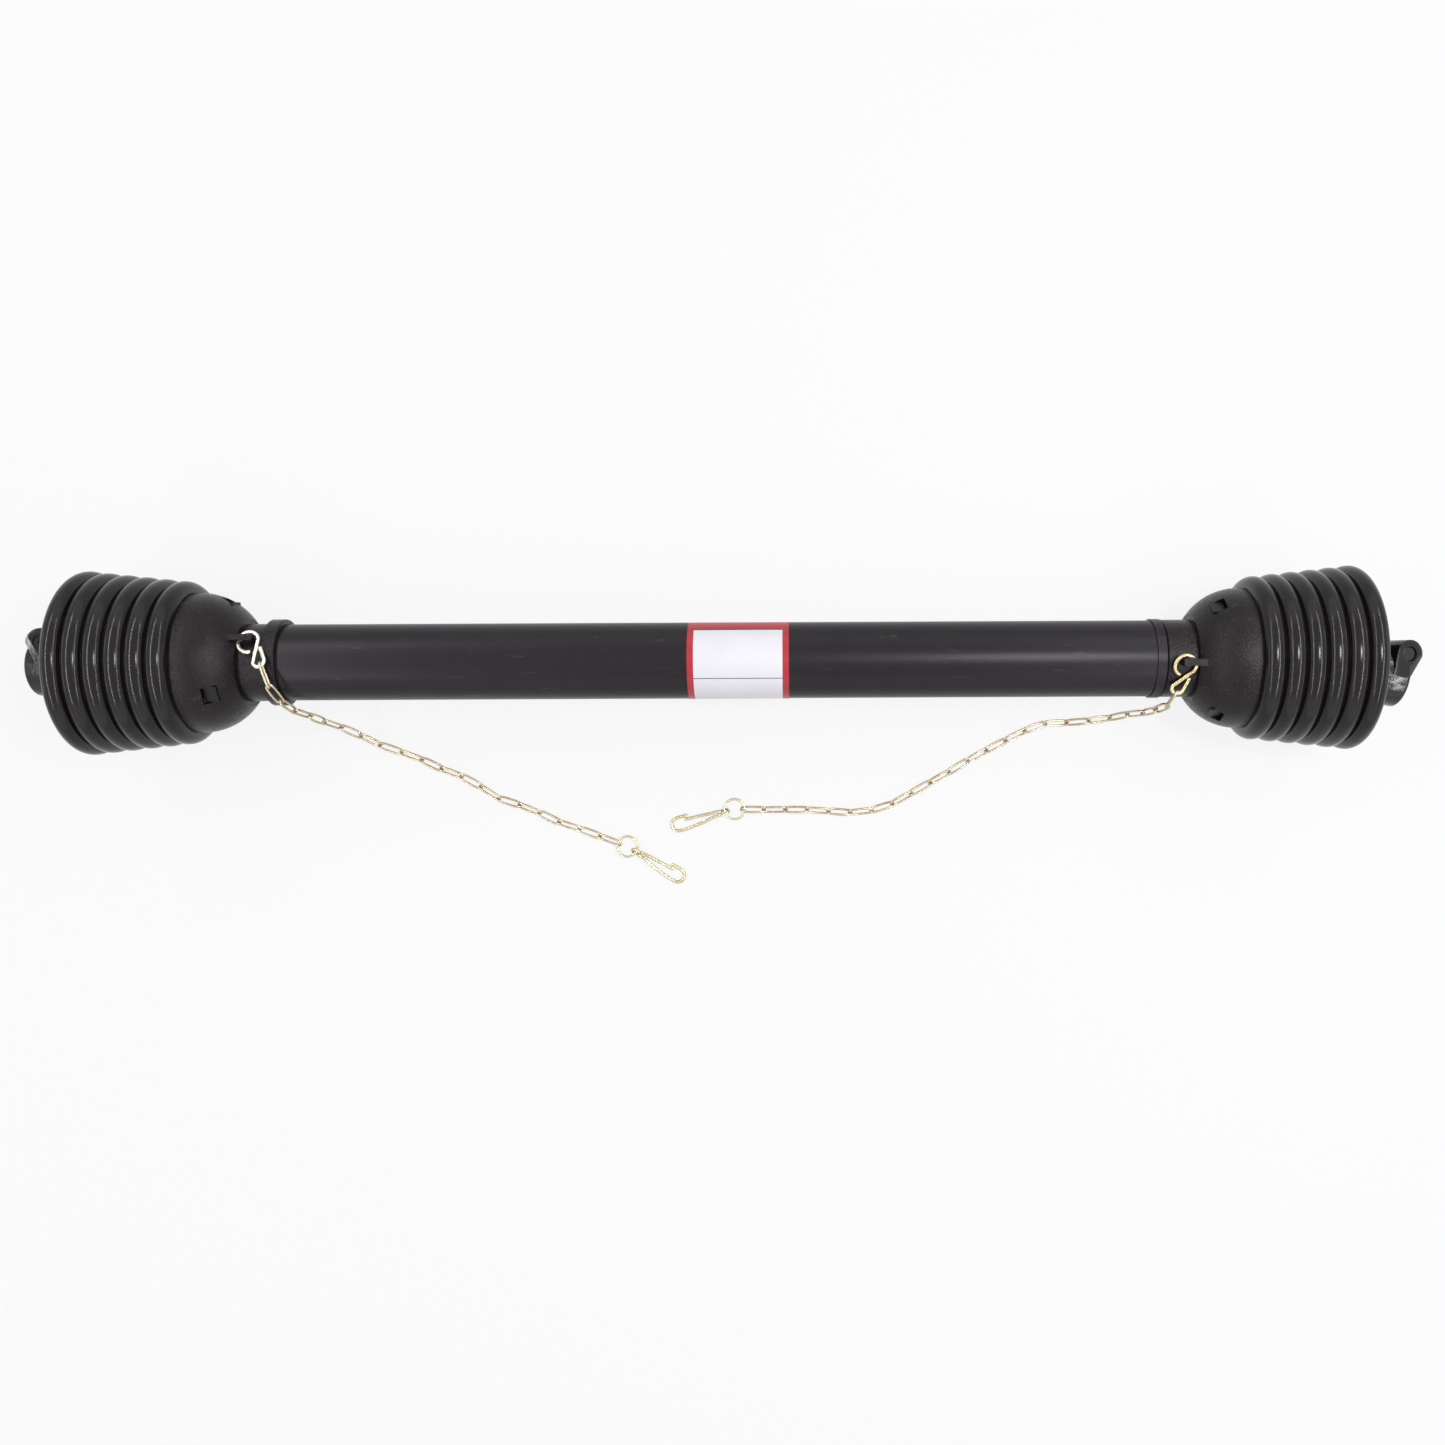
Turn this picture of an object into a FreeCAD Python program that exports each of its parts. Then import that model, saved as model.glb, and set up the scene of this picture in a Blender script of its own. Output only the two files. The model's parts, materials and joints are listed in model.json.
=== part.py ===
import FreeCAD, Part
import math
import os
import re
import Sketcher

# PTO drive shaft with a full plastic guard, closed, lying on its two bells.
# X runs along the shaft, with the tractor's end at -X, +Z is up and the ground is z = 0.
# Lengths are in millimetres and angles in degrees.
# An end's own frame starts on the shaft's axis at mid length, and u runs outwards.

Vector = FreeCAD.Vector
Rotation = FreeCAD.Rotation
Placement = FreeCAD.Placement
X_AXIS = Vector(1, 0, 0)
Y_AXIS = Vector(0, 1, 0)
Z_AXIS = Vector(0, 0, 1)

# Driving sizes: name, value, what it is
SIZES = [
    ("axis_offset", 62.7, "the axis stands this far to +Y of the middle of the ground that the part covers"),
    ("seat_clearance", 0.05, "gap of pieces that are pushed together by hand"),
    ("running_clearance", 0.1, "radial gap of pieces that slide or turn in each other"),

    ("rim_place", 565.0, "outer edge of the bellows"),
    ("rim_radius", 78.4, "radius of that edge"),
    ("crest_count", 6, "ribs of the bellows"),
    ("crest_place", 558.4, "middle of the outermost rib"),
    ("crest_pitch", 16.9, "from rib to rib"),
    ("crest_radius", 81.9, "radius over the outermost rib, on which the shaft lies"),
    ("crest_taper", 1.8, "each rib is this much smaller than the one outside it"),
    ("valley_depth", 5.2, "depth of the folds"),
    ("bellows_wall", 2.4, "wall of the bellows"),
    ("seam_place", 464.5, "edge of the bellows on the cone"),
    ("seam_radius", 63.8, "radius of that edge"),
    ("collar_overlap", 5.5, "how far the bellows' collar and the cone's edge overlap"),

    ("cone_radius", 62.5, "radius of the cone's cylindrical edge"),
    ("cone_edge_length", 2.5, "length of that edge outside the bellows"),
    ("cone_curve", 52.0, "radius of the dome's profile"),
    ("cone_wall", 2.5, "wall of the cone"),
    ("root_place", 418.5, "small end of the dome"),
    ("collar_edge", 1.0, "small bevels and steps of turned and moulded pieces"),
    ("collar_radius", 34.5, "radius of the cone's collar"),
    ("collar_bore", 30.0, "radius of the left collar's bore behind the tube's seat"),
    ("lip_radius", 38.5, "radius of the left collar's flared lip"),
    ("lip_length", 12.0, "length of the lip"),
    ("left_collar_place", 385.0, "inner end of the left collar"),
    ("right_collar_place", 392.0, "inner end of the right collar"),
    ("tube_seat_depth", 10.0, "how far the outer guard tube sits in the lip"),
    ("window_place", 430.0, "inner edge of the cone's windows"),
    ("window_length", 12.0, "length of a window"),
    ("window_width", 16.0, "width of a window"),
    ("tab_clearance", 0.3, "gap of a tab in its window"),
    ("eyelet_place", 403.0, "inner end of the eyelet for the chain"),
    ("eyelet_length", 22.0, "length of the eyelet"),
    ("eyelet_width", 6.0, "width of the eyelet's bar"),
    ("eyelet_bar", 3.6, "thickness of the eyelet's bar"),
    ("eyelet_leg", 4.0, "thickness of the eyelet's leg"),
    ("left_eyelet_angle", 27.0, "left eyelet, from the top, as seen from the left end"),
    ("right_eyelet_angle", 7.0, "right eyelet, from the top, as seen from the right end"),
    ("eyelet_gap", 7.0, "room under the eyelet's bar"),

    ("guard_tube_radius", 34.0, "outer guard tube"),
    ("guard_tube_wall", 3.2, "its wall"),
    ("inner_guard_wall", 2.5, "wall of the inner guard tube"),
    ("inner_guard_start", -370.0, "free end of the inner guard tube"),
    ("tube_end_lip", 35.3, "radius of the thin lip at the outer guard tube's right end"),
    ("tube_end_lip_length", 8.0, "length of that lip"),
    ("end_gap", 0.8, "gap between the guard tube and the right collar"),

    ("lobe_offset", 14.0, "from the axis to the middle of a profile tube's lobe"),
    ("lobe_radius", 10.0, "radius of the outer profile tube's lobes"),
    ("outer_profile_wall", 3.4, "wall of the outer profile tube"),
    ("inner_profile_wall", 4.0, "wall of the inner profile tube"),
    ("profile_tube_end", 462.0, "both profile tubes end here, in their yokes"),
    ("outer_profile_gap", 82.0, "free length from the outer profile tube to the end of the inner one"),
    ("inner_profile_gap", 122.0, "free length from the inner profile tube to the end of the outer one"),

    ("cross_place", 507.0, "middle of each universal joint"),
    ("cap_radius", 13.5, "bearing cup, 27 mm"),
    ("cap_span", 74.6, "length over a pair of cups"),
    ("cap_height", 14.6, "height of a cup"),
    ("cap_floor", 2.6, "thickness of a cup's closed end"),
    ("arm_radius", 9.0, "arm of the cross"),
    ("cross_core", 17.0, "radius of the middle of the cross"),
    ("seal_height", 2.4, "rubber seal at the root of an arm"),
    ("seal_radius", 12.2, "radius of that seal"),
    ("nipple_radius", 3.2, "grease nipple"),
    ("nipple_height", 8.0, "length of the nipple"),

    ("ear_radius", 20.5, "round end of a yoke's ears"),
    ("ear_inside", 23.0, "half the gap between the ears"),
    ("ear_outside", 41.0, "half the width over the ears"),
    ("throat_start", 13.0, "where the round of the throat starts, from the joint's middle"),
    ("fork_half_width", 24.0, "half the width of the fork at the hub"),
    ("fork_end", 42.0, "where the fork meets the hub, from the joint's middle"),
    ("fork_shoulder", 20.0, "where the fork starts to narrow, from the joint's middle"),
    ("circlip_width", 1.5, "circlip over a cup"),
    ("circlip_depth", 1.2, "depth of its groove in the ear"),
    ("tube_hub_radius", 29.0, "hub of the tube yoke"),
    ("tube_hub_length", 42.0, "length of that hub"),
    ("ring_groove_radius", 27.0, "bottom of the groove for the guard's bearing ring"),
    ("ring_groove_width", 9.0, "width of that groove"),
    ("bearing_ring_radius", 44.0, "outside of the bearing ring"),
    ("tab_radius", 54.0, "outside of its tabs"),
    ("spring_pin_radius", 5.0, "spring pin through the tube yoke"),
    ("spring_pin_bore", 2.6, "its bore"),
    ("spring_pin_place", 452.0, "place of the spring pin"),

    ("yoke_length", 102.0, "from the joint's middle to the end of the quick-release yoke"),
    ("hub_radius", 25.4, "hub of the quick-release yoke"),
    ("hub_rounding", 3.0, "rounding of its end"),
    ("groove_radius", 17.45, "six-tooth bore over its grooves"),
    ("tooth_radius", 14.95, "the same bore over its teeth"),
    ("groove_width", 8.7, "width of a groove"),
    ("boss_place", 92.0, "where the lock pin's axis passes the bore's axis, from the joint's middle"),
    ("boss_slant", 14.0, "slant of the lock pin's axis, whose head leans away from the joint"),
    ("boss_offset", 20.8, "lock pin's axis from the bore's axis"),
    ("boss_radius", 12.4, "radius of the boss"),
    ("boss_top", 24.5, "mouth of the boss, from the bore's axis"),
    ("boss_web", 4.0, "reach of the web between boss and hub, outwards from the lock pin's axis"),
    ("boss_bottom", 25.0, "foot of the boss, from the bore's axis"),
    ("pin_radius", 5.6, "lock pin"),
    ("pin_foot", 9.5, "foot of the lock pin, from the bore's axis"),
    ("pin_lock_length", 11.8, "thick part of the pin, which locks"),
    ("pin_waist_length", 17.5, "thin part of the pin, which lets go"),
    ("pin_waist_radius", 3.2, "radius of the thin part"),
    ("pin_head_radius", 6.2, "head of the pin"),
    ("pin_head_height", 3.2, "height of the head"),
    ("pin_edge", 0.85, "bevels of the pin and rounding of its head"),
    ("mouth_radius", 6.6, "recess round the head"),
    ("mouth_depth", 15.7, "depth of that recess"),
    ("spring_seat", 21.0, "seat of the spring, from the bore's axis"),
    ("spring_wire", 0.9, "wire of the spring"),
    ("spring_radius", 4.2, "middle radius of its coils"),
    ("spring_gap", 0.4, "gap of the spring at each end"),
    ("foot_recess", 6.8, "radius of the recess in the boss's foot"),
    ("foot_recess_depth", 2.6, "depth of that recess"),
    ("drain_radius", 3.0, "hole between that recess and the spring"),
    ("left_yaw", 2.0, "left yoke's swing to -Y as it lies"),
    ("right_yaw", 11.0, "right yoke's swing to -Y as it lies"),

    ("label_start", -27.0, "left edge of the sticker"),
    ("label_length", 89.0, "length of the sticker"),
    ("label_border", 5.6, "width of its border"),
    ("label_top", 76.0, "its upper edge, from the top of the tube towards +Y"),
    ("label_header", 25.2, "height of its header"),
    ("label_bottom", 100.0, "its lower edge, from the top of the tube towards -Y"),
    ("label_foot", 5.0, "height of its lower border"),
    ("label_thickness", 0.3, "thickness of the sticker"),

    ("hook_wire", 1.7, "radius of the S-hook's wire"),
    ("hook_big_loop", 9.4, "middle radius of its big loop"),
    ("hook_small_loop", 5.3, "middle radius of its small loop"),
    ("hook_span", 21.6, "from loop to loop"),
    ("link_wire", 1.1, "radius of the chain's wire"),
    ("link_pitch", 20.6, "from link to link"),
    ("link_play", 0.9, "play between two links"),
    ("link_width", 9.2, "width over a link"),
    ("link_rest", 3.7, "height of a link's middle as it lies on the ground"),
    ("ring_radius", 9.7, "middle radius of the chain's end ring"),
    ("ring_wire", 1.15, "radius of its wire"),
    ("snap_wire", 1.6, "radius of the snap hook's wire"),
    ("snap_length", 59.0, "length of the snap hook"),
    ("snap_width", 16.0, "width of its nose"),
    ("snap_eye", 4.0, "middle radius of its eye"),
    ("snap_eye_wire", 1.3, "radius of the wire there"),
    ("snap_eye_tilt", 55.0, "twist of the eye against the nose"),
    ("ring_rest", 3.8, "height of the ring, which the last link and the hook's eye hold up"),
]
UNITLESS = {name: amount for name, amount, note in SIZES}

document = FreeCAD.newDocument("drive_shaft")
sheet = document.addObject("Spreadsheet::Sheet", "Sizes")
for row, (name, amount, note) in enumerate(SIZES, start=1):
    sheet.set(f"A{row}", note)
    sheet.set(f"B{row}", str(amount))
    sheet.setAlias(f"B{row}", name)
document.recompute()


def bound(text):
    """Give an expression that reads its sizes from the sheet."""
    return re.sub(r"[a-z_]+", lambda word: f"Sizes.{word[0]}" if word[0] in UNITLESS else word[0], text)


def value(text):
    """Work out an expression on the sizes as a number."""
    return float(sheet.evalExpression(bound(text)))


def shifted(u=0.0, v=0.0, w=0.0, axis=X_AXIS, turn=0.0):
    """Give a placement: a turn about an axis, then a move."""
    return Placement(Vector(u, v, w), Rotation(axis, turn))


axis_height = value("crest_radius")
SHAFT = shifted(v=value("axis_offset"), w=axis_height)
ENDS = {"left": SHAFT * shifted(axis=Z_AXIS, turn=180), "right": SHAFT}
nodes = []


def node(name, thing, place):
    """Name a finished piece and put it in its place."""
    thing.Label = name
    thing.Placement = place
    nodes.append(thing)
    return thing


# Sketched bodies


def new_body(name):
    return document.addObject("PartDesign::Body", name)


def sketched(body, name, plane, outlines):
    """Draw closed outlines on one of the body's planes.

    A corner is (u, v), or (u, v, radius) where an arc of that radius leads to it. A radius with a
    minus sign runs clockwise.
    """
    sketch = body.newObject("Sketcher::SketchObject", f"{body.Name}_{name}")
    support = next(feature for feature in body.Origin.OriginFeatures if feature.Role == plane)
    sketch.AttachmentSupport = [(support, "")]
    sketch.MapMode = "FlatFace"
    for corners in outlines:
        add_outline(sketch, corners)
    return sketch


def pin_coordinate(sketch, kind, axis, geometry, end, text):
    """Tie one coordinate of a corner to its expression, or to the axis where it is zero."""
    if text == "0":
        sketch.addConstraint(Sketcher.Constraint("PointOnObject", geometry, end, axis))
        return
    index = sketch.addConstraint(Sketcher.Constraint(kind, -1, 1, geometry, end, value(text)))
    sketch.setExpression(f"Constraints[{index}]", bound(text))


def add_outline(sketch, corners):
    places = [Vector(value(corner[0]), value(corner[1]), 0) for corner in corners]
    previous = None
    first = None
    for index, corner in enumerate(corners):
        start, end = places[index - 1], places[index]
        if len(corner) == 3:
            geometry, start_end, finish_end = add_arc(sketch, start, end, corner[2])
        else:
            geometry = sketch.addGeometry(Part.LineSegment(start, end))
            start_end, finish_end = 1, 2
        pin_coordinate(sketch, "DistanceX", -2, geometry, finish_end, corner[0])
        pin_coordinate(sketch, "DistanceY", -1, geometry, finish_end, corner[1])
        if previous:
            sketch.addConstraint(Sketcher.Constraint("Coincident", *previous, geometry, start_end))
        else:
            first = (geometry, start_end)
        previous = (geometry, finish_end)
    sketch.addConstraint(Sketcher.Constraint("Coincident", *previous, *first))


def add_arc(sketch, start, end, text):
    """Add an arc of less than half a turn; its ends swap where it runs clockwise."""
    clockwise = text.startswith("-")
    radius_text = text.lstrip("-")
    if clockwise:
        start, end = end, start
    radius = value(radius_text)
    chord = end - start
    rise = math.sqrt(max(radius ** 2 - (chord.Length / 2) ** 2, 0.0))
    left = Vector(-chord.y, chord.x, 0).normalize()
    centre = (start + end) * 0.5 + left * rise
    circle = Part.Circle(centre, Z_AXIS, radius)
    angles = [math.atan2(point.y - centre.y, point.x - centre.x) for point in (start, end)]
    if angles[1] < angles[0]:
        angles[1] += 2 * math.pi
    geometry = sketch.addGeometry(Part.ArcOfCircle(circle, *angles))
    index = sketch.addConstraint(Sketcher.Constraint("Radius", geometry, radius))
    sketch.setExpression(f"Constraints[{index}]", bound(radius_text))
    return (geometry, 2, 1) if clockwise else (geometry, 1, 2)


def feature(body, kind, name, sketch):
    thing = body.newObject(f"PartDesign::{kind}", f"{body.Name}_{name}")
    thing.Profile = sketch
    sketch.Visibility = False
    return thing


def turn_solid(body, name, outlines, kind="Revolution", axis="H_Axis"):
    """Turn outlines of the XZ plane about an axis of their sketch."""
    sketch = sketched(body, f"{name}_outline", "XZ_Plane", outlines)
    turned = feature(body, kind, name, sketch)
    turned.ReferenceAxis = (sketch, [axis])
    return turned


def pad_both_ways(body, name, plane, outlines, length):
    padded = feature(body, "Pad", name, sketched(body, f"{name}_outline", plane, outlines))
    padded.SideType = "Symmetric"
    padded.setExpression("Length", bound(length))
    return padded


def cut_through(body, name, plane, outlines):
    """Cut outlines right through the body, both ways."""
    pocket = feature(body, "Pocket", name, sketched(body, f"{name}_outline", plane, outlines))
    pocket.SideType = "Symmetric"
    pocket.Type = "ThroughAll"
    return pocket


def circle_outline(u, v, radius):
    """Give a circle as four arcs."""
    return [
        (f"{u} + ({radius})", v, radius),
        (u, f"{v} + ({radius})", radius),
        (f"{u} - ({radius})", v, radius),
        (u, f"{v} - ({radius})", radius),
    ]


def lobed_outline(radius):
    """Give the three-lobed section of a profile tube: arcs about three middles and straight flanks."""
    corners = []
    for middle in (90, 210, 330):
        for side in (-60, 0, 60):
            angle = middle + side
            u = f"lobe_offset * cos({middle} deg) + ({radius}) * cos({angle} deg)"
            v = f"lobe_offset * sin({middle} deg) + ({radius}) * sin({angle} deg)"
            corners.append((u, v) if side == -60 else (u, v, radius))
    return corners


# Pieces made of plain solids


def solid(kind, name, place=Placement(), **sizes):
    """Add a box, cylinder, cone, sphere or torus with its sizes bound to the sheet."""
    thing = document.addObject(f"Part::{kind}", name)
    for size, text in sizes.items():
        thing.setExpression(size, bound(text))
    thing.Placement = place
    return thing


def bar(name, start, radius, length):
    """Add a cylinder along the shaft's axis from a place on it."""
    return solid("Cylinder", name, shifted(u=start, axis=Y_AXIS, turn=90), Radius=radius, Height=length)


def cut(name, base, *tools):
    thing = document.addObject("Part::Cut", name)
    thing.Base = base
    thing.Tool = tools[0] if len(tools) == 1 else fuse(f"{name}_tools", *tools)
    return thing


def fuse(name, *parts):
    thing = document.addObject("Part::MultiFuse", name)
    thing.Shapes = list(parts)
    return thing


def group(name, *parts):
    """Hold several separate solids of one kind together."""
    thing = document.addObject("Part::Compound", name)
    thing.Links = list(parts)
    return thing


def shaped(name, shape):
    """Add a piece whose shape is worked out here."""
    thing = document.addObject("Part::Feature", name)
    thing.Shape = shape
    return thing


# Guard


CURVE_START = "(seam_place - cone_edge_length)"
ROOT_OUTSIDE = f"cone_radius - cone_curve + sqrt(cone_curve^2 - ({CURVE_START} - root_place)^2)"
BACK_WALL = "(root_place + cone_wall)"
INNER_CURVE = "(cone_curve - cone_wall)"
ROOT_INSIDE = f"cone_radius - cone_curve + sqrt({INNER_CURVE}^2 - ({CURVE_START} - {BACK_WALL})^2)"
CONE_EDGE = "seam_place + collar_overlap"
INNER_GUARD_RADIUS = "(guard_tube_radius - guard_tube_wall - running_clearance)"
WINDOW_ANGLES = (60, 180, 300)


def radial_box(name, angle, start, length, width, low, high):
    """Add a box that stands on the shaft's axis at an angle, as long as given along the axis."""
    turn = Placement(Vector(), Rotation(X_AXIS, angle))
    corner = shifted(value(start), -value(width) / 2, value(low))
    return solid("Box", name, turn * corner, Length=length, Width=width, Height=f"{high} - ({low})")


def guard_cone(side):
    """The domed cone with its collar, its three windows and the eyelet of the chain."""
    dome = [
        (CONE_EDGE, "cone_radius"),
        (CURVE_START, "cone_radius"),
        ("root_place", ROOT_OUTSIDE, "cone_curve"),
        ("root_place", "collar_radius"),
    ]
    if side == "left":
        seat = "guard_tube_radius + seat_clearance"
        seat_end = "left_collar_place + tube_seat_depth"
        lip_end = "left_collar_place + lip_length"
        bore = "collar_bore"
        collar = [
            (f"{lip_end} + collar_edge", "collar_radius"),
            (lip_end, "lip_radius"),
            ("left_collar_place + collar_edge", "lip_radius"),
            ("left_collar_place", "lip_radius - collar_edge"),
            ("left_collar_place", seat),
            (seat_end, seat),
            (seat_end, bore),
        ]
    else:
        seat = f"{INNER_GUARD_RADIUS} + seat_clearance"
        seat_end = "root_place - collar_edge"
        bore = f"{INNER_GUARD_RADIUS} - inner_guard_wall"
        collar = [
            ("right_collar_place + collar_edge", "collar_radius"),
            ("right_collar_place", "collar_radius - collar_edge"),
            ("right_collar_place", seat),
            (seat_end, seat),
            (seat_end, bore),
        ]
    inside = [
        (BACK_WALL, bore),
        (BACK_WALL, ROOT_INSIDE),
        (CURVE_START, "cone_radius - cone_wall", f"-{INNER_CURVE}"),
        (CONE_EDGE, "cone_radius - cone_wall"),
    ]
    body = new_body(f"{side}_cone_turned")
    turn_solid(body, "wall", [dome + collar + inside])
    angle = value(f"{side}_eyelet_angle")
    bar_low = "collar_radius + eyelet_gap"
    bar_high = f"{bar_low} + eyelet_bar"
    strap = radial_box(f"{side}_eyelet_bar", angle, "eyelet_place", "eyelet_length", "eyelet_width",
                       bar_low, bar_high)
    leg = radial_box(f"{side}_eyelet_leg", angle, "eyelet_place", "eyelet_leg", "eyelet_width",
                     "collar_radius - collar_edge", bar_high)
    windows = [
        radial_box(f"{side}_window_{number}", angle + turn, "window_place", "window_length", "window_width",
                   "bearing_ring_radius", "cone_radius")
        for number, turn in enumerate(WINDOW_ANGLES)
    ]
    whole = fuse(f"{side}_cone_whole", body, strap, leg)
    node(f"{side}_guard_cone", cut(f"{side}_guard_cone", whole, *windows), ENDS[side])


def arc_edge(start, middle, end):
    return Part.Arc(start, middle, end).toShape()


def bellows_shape():
    """The ribbed bell: one round arc a rib, outside and inside, turned about the shaft's axis."""
    count = int(value("crest_count"))
    pitch, wall, depth = value("crest_pitch"), value("bellows_wall"), value("valley_depth")
    half_taper = value("crest_taper") / 2

    def crest(index, skin=0.0):
        radius = value("crest_radius") - 2 * half_taper * index - skin
        return Vector(value("crest_place") - pitch * index, 0, radius)

    def valley(index, skin=0.0):
        return crest(index, skin) - Vector(pitch / 2, 0, half_taper + depth)

    rim = Vector(value("rim_place"), 0, value("rim_radius"))
    rim_inside = rim - Vector(0, 0, wall)
    seam = Vector(value("seam_place"), 0, value("seam_radius"))
    seat_radius = value("cone_radius + seat_clearance")
    seat_start = Vector(seam.x, 0, seat_radius)
    seat_end = Vector(seam.x + value("collar_overlap"), 0, seat_radius)
    throat = Vector(seat_end.x, 0, valley(count - 1, wall).z)
    edges = []
    last = rim
    for index in range(count):
        edges.append(arc_edge(last, crest(index), valley(index)))
        last = valley(index)
    for corner in (seam, seat_start, seat_end, throat):
        edges.append(Part.LineSegment(last, corner).toShape())
        last = corner
    for index in reversed(range(count)):
        end = valley(index - 1, wall) if index else rim_inside
        edges.append(arc_edge(last, crest(index, wall), end))
        last = end
    edges.append(Part.LineSegment(last, rim).toShape())
    return Part.Face(Part.Wire(edges)).revolve(Vector(), X_AXIS, 360)


def bearing_ring(side):
    """The plastic ring in the tube yoke's groove, with a tab in each window."""
    angle = value(f"{side}_eyelet_angle")
    half = "(ring_groove_width / 2 - tab_clearance)"
    middle = "(window_place + window_length / 2)"
    ring = bar(f"{side}_ring_disc", value(f"{middle} - {half}"), "bearing_ring_radius", f"2 * {half}")
    tabs = [
        radial_box(f"{side}_tab_{number}", angle + turn, "window_place + tab_clearance",
                   "window_length - 2 * tab_clearance", "window_width - 2 * tab_clearance",
                   "bearing_ring_radius - collar_edge", "tab_radius")
        for number, turn in enumerate(WINDOW_ANGLES)
    ]
    bore = bar(f"{side}_ring_bore", value(f"{middle} - window_length"), "ring_groove_radius + running_clearance",
               "2 * window_length")
    whole = fuse(f"{side}_ring_whole", ring, *tabs)
    node(f"{side}_bearing_ring", cut(f"{side}_bearing_ring", whole, bore), ENDS[side])


def tube(name, start, radius, wall, length):
    """Add a round tube along the shaft."""
    outside = bar(f"{name}_outside", start, radius, length)
    inside = bar(f"{name}_inside", start, f"{radius} - {wall}", length)
    return outside, inside


def guard_tubes():
    start = value("-left_collar_place - tube_seat_depth")
    length = "left_collar_place + tube_seat_depth + right_collar_place - end_gap"
    outside, inside = tube("outer_guard_tube", start, "guard_tube_radius", "guard_tube_wall", length)
    lip_start = value("right_collar_place - end_gap - tube_end_lip_length")
    lip = bar("tube_lip", lip_start, "tube_end_lip", "tube_end_lip_length")
    whole = fuse("outer_guard_tube_whole", outside, lip)
    node("outer_guard_tube", cut("outer_guard_tube", whole, inside), SHAFT)
    length = "root_place - collar_edge - inner_guard_start"
    outside, inside = tube("inner_guard_tube", value("inner_guard_start"), INNER_GUARD_RADIUS,
                           "inner_guard_wall", length)
    node("inner_guard_tube", cut("inner_guard_tube", outside, inside), SHAFT)


def label():
    """The sticker: a red frame with a deep header round a white field."""
    def sector(name, start, length, top, sweep):
        turn = Rotation(Y_AXIS, 90) * Rotation(Z_AXIS, 180 - value(top))
        place = Placement(Vector(value(start), 0, 0), turn)
        skin = "guard_tube_radius + seat_clearance"
        outside = solid("Cylinder", f"{name}_outside", place, Radius=f"{skin} + label_thickness",
                        Height=length, Angle=sweep)
        inside = bar(f"{name}_inside", value(f"{start} - label_border"), skin, f"{length} + 2 * label_border")
        return cut(name, outside, inside)

    field_sizes = ("label_start + label_border", "label_length - 2 * label_border", "label_top - label_header",
                   "label_top - label_header + label_bottom - label_foot")
    frame_blank = sector("label_blank", "label_start", "label_length", "label_top", "label_top + label_bottom")
    field_blank = sector("label_window", *field_sizes)
    node("label_frame", cut("label_frame", frame_blank, field_blank), SHAFT)
    node("label_field", sector("label_field", *field_sizes), SHAFT)


# Drive


def profile_tubes():
    """The two three-lobed tubes that slide in each other and carry the power."""
    outer_lobe = "lobe_radius"
    inner_lobe = "lobe_radius - outer_profile_wall - running_clearance"
    for name, lobe, wall, length, start in (
        ("outer_profile_tube", outer_lobe, "outer_profile_wall", "2 * profile_tube_end - outer_profile_gap",
         value("-profile_tube_end")),
        ("inner_profile_tube", inner_lobe, "inner_profile_wall", "2 * profile_tube_end - inner_profile_gap",
         value("inner_profile_gap - profile_tube_end")),
    ):
        body = new_body(f"{name}_section")
        outlines = [lobed_outline(lobe), lobed_outline(f"{lobe} - {wall}")]
        section = feature(body, "Pad", "wall", sketched(body, "section", "YZ_Plane", outlines))
        section.setExpression("Length", bound(length))
        side = "left" if name.startswith("outer") else "right"
        drill = pin_drill(f"{name}_pin_hole", side)
        hole = drill if side == "right" else turned_over(drill)
        bored = cut(f"{name}_bored", placed(body, shifted(u=start)), hole)
        node(name, bored, SHAFT)


def placed(thing, place):
    thing.Placement = place
    return thing


def turned_over(thing):
    """Carry a piece of the right end's frame over to the left end."""
    return placed(thing, Placement(Vector(), Rotation(Z_AXIS, 180)) * thing.Placement)


def pin_drill(name, side):
    """The hole of the spring pin, across the tube yoke and the tube."""
    place = shifted(value("spring_pin_place"), -value("tube_hub_radius"), 0, X_AXIS, -90)
    return solid("Cylinder", name, place, Radius="spring_pin_radius + seat_clearance",
                 Height="2 * tube_hub_radius")


def fork(body, hub):
    """Two ears with a round throat; the hub's radius sets where they end."""
    outline = [
        ("-ear_radius", "ear_outside"),
        ("-ear_radius", "ear_inside"),
        ("throat_start", "ear_inside"),
        ("throat_start + ear_inside", "0", "-ear_inside"),
        ("throat_start", "-ear_inside", "-ear_inside"),
        ("-ear_radius", "-ear_inside"),
        ("-ear_radius", "-ear_outside"),
        ("fork_shoulder", "-ear_outside"),
        ("fork_end", f"-{hub}"),
        ("fork_end", hub),
        ("fork_shoulder", "ear_outside"),
    ]
    pad_both_ways(body, "fork", "XZ_Plane", [outline], "2 * fork_half_width")


def trim_ears(body):
    """Round the ears about the cup's axis and narrow them from the hub to there."""
    margin = "fork_half_width + ear_radius"
    around = [
        ("0", "ear_radius"),
        ("-ear_radius", "0", "ear_radius"),
        ("0", "-ear_radius", "ear_radius"),
        ("fork_end", "-fork_half_width"),
        ("fork_end", f"-({margin})"),
        (f"-({margin})", f"-({margin})"),
        (f"-({margin})", margin),
        ("fork_end", margin),
        ("fork_end", "fork_half_width"),
    ]
    cut_through(body, "ear_trim", "XY_Plane", [around])


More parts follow.
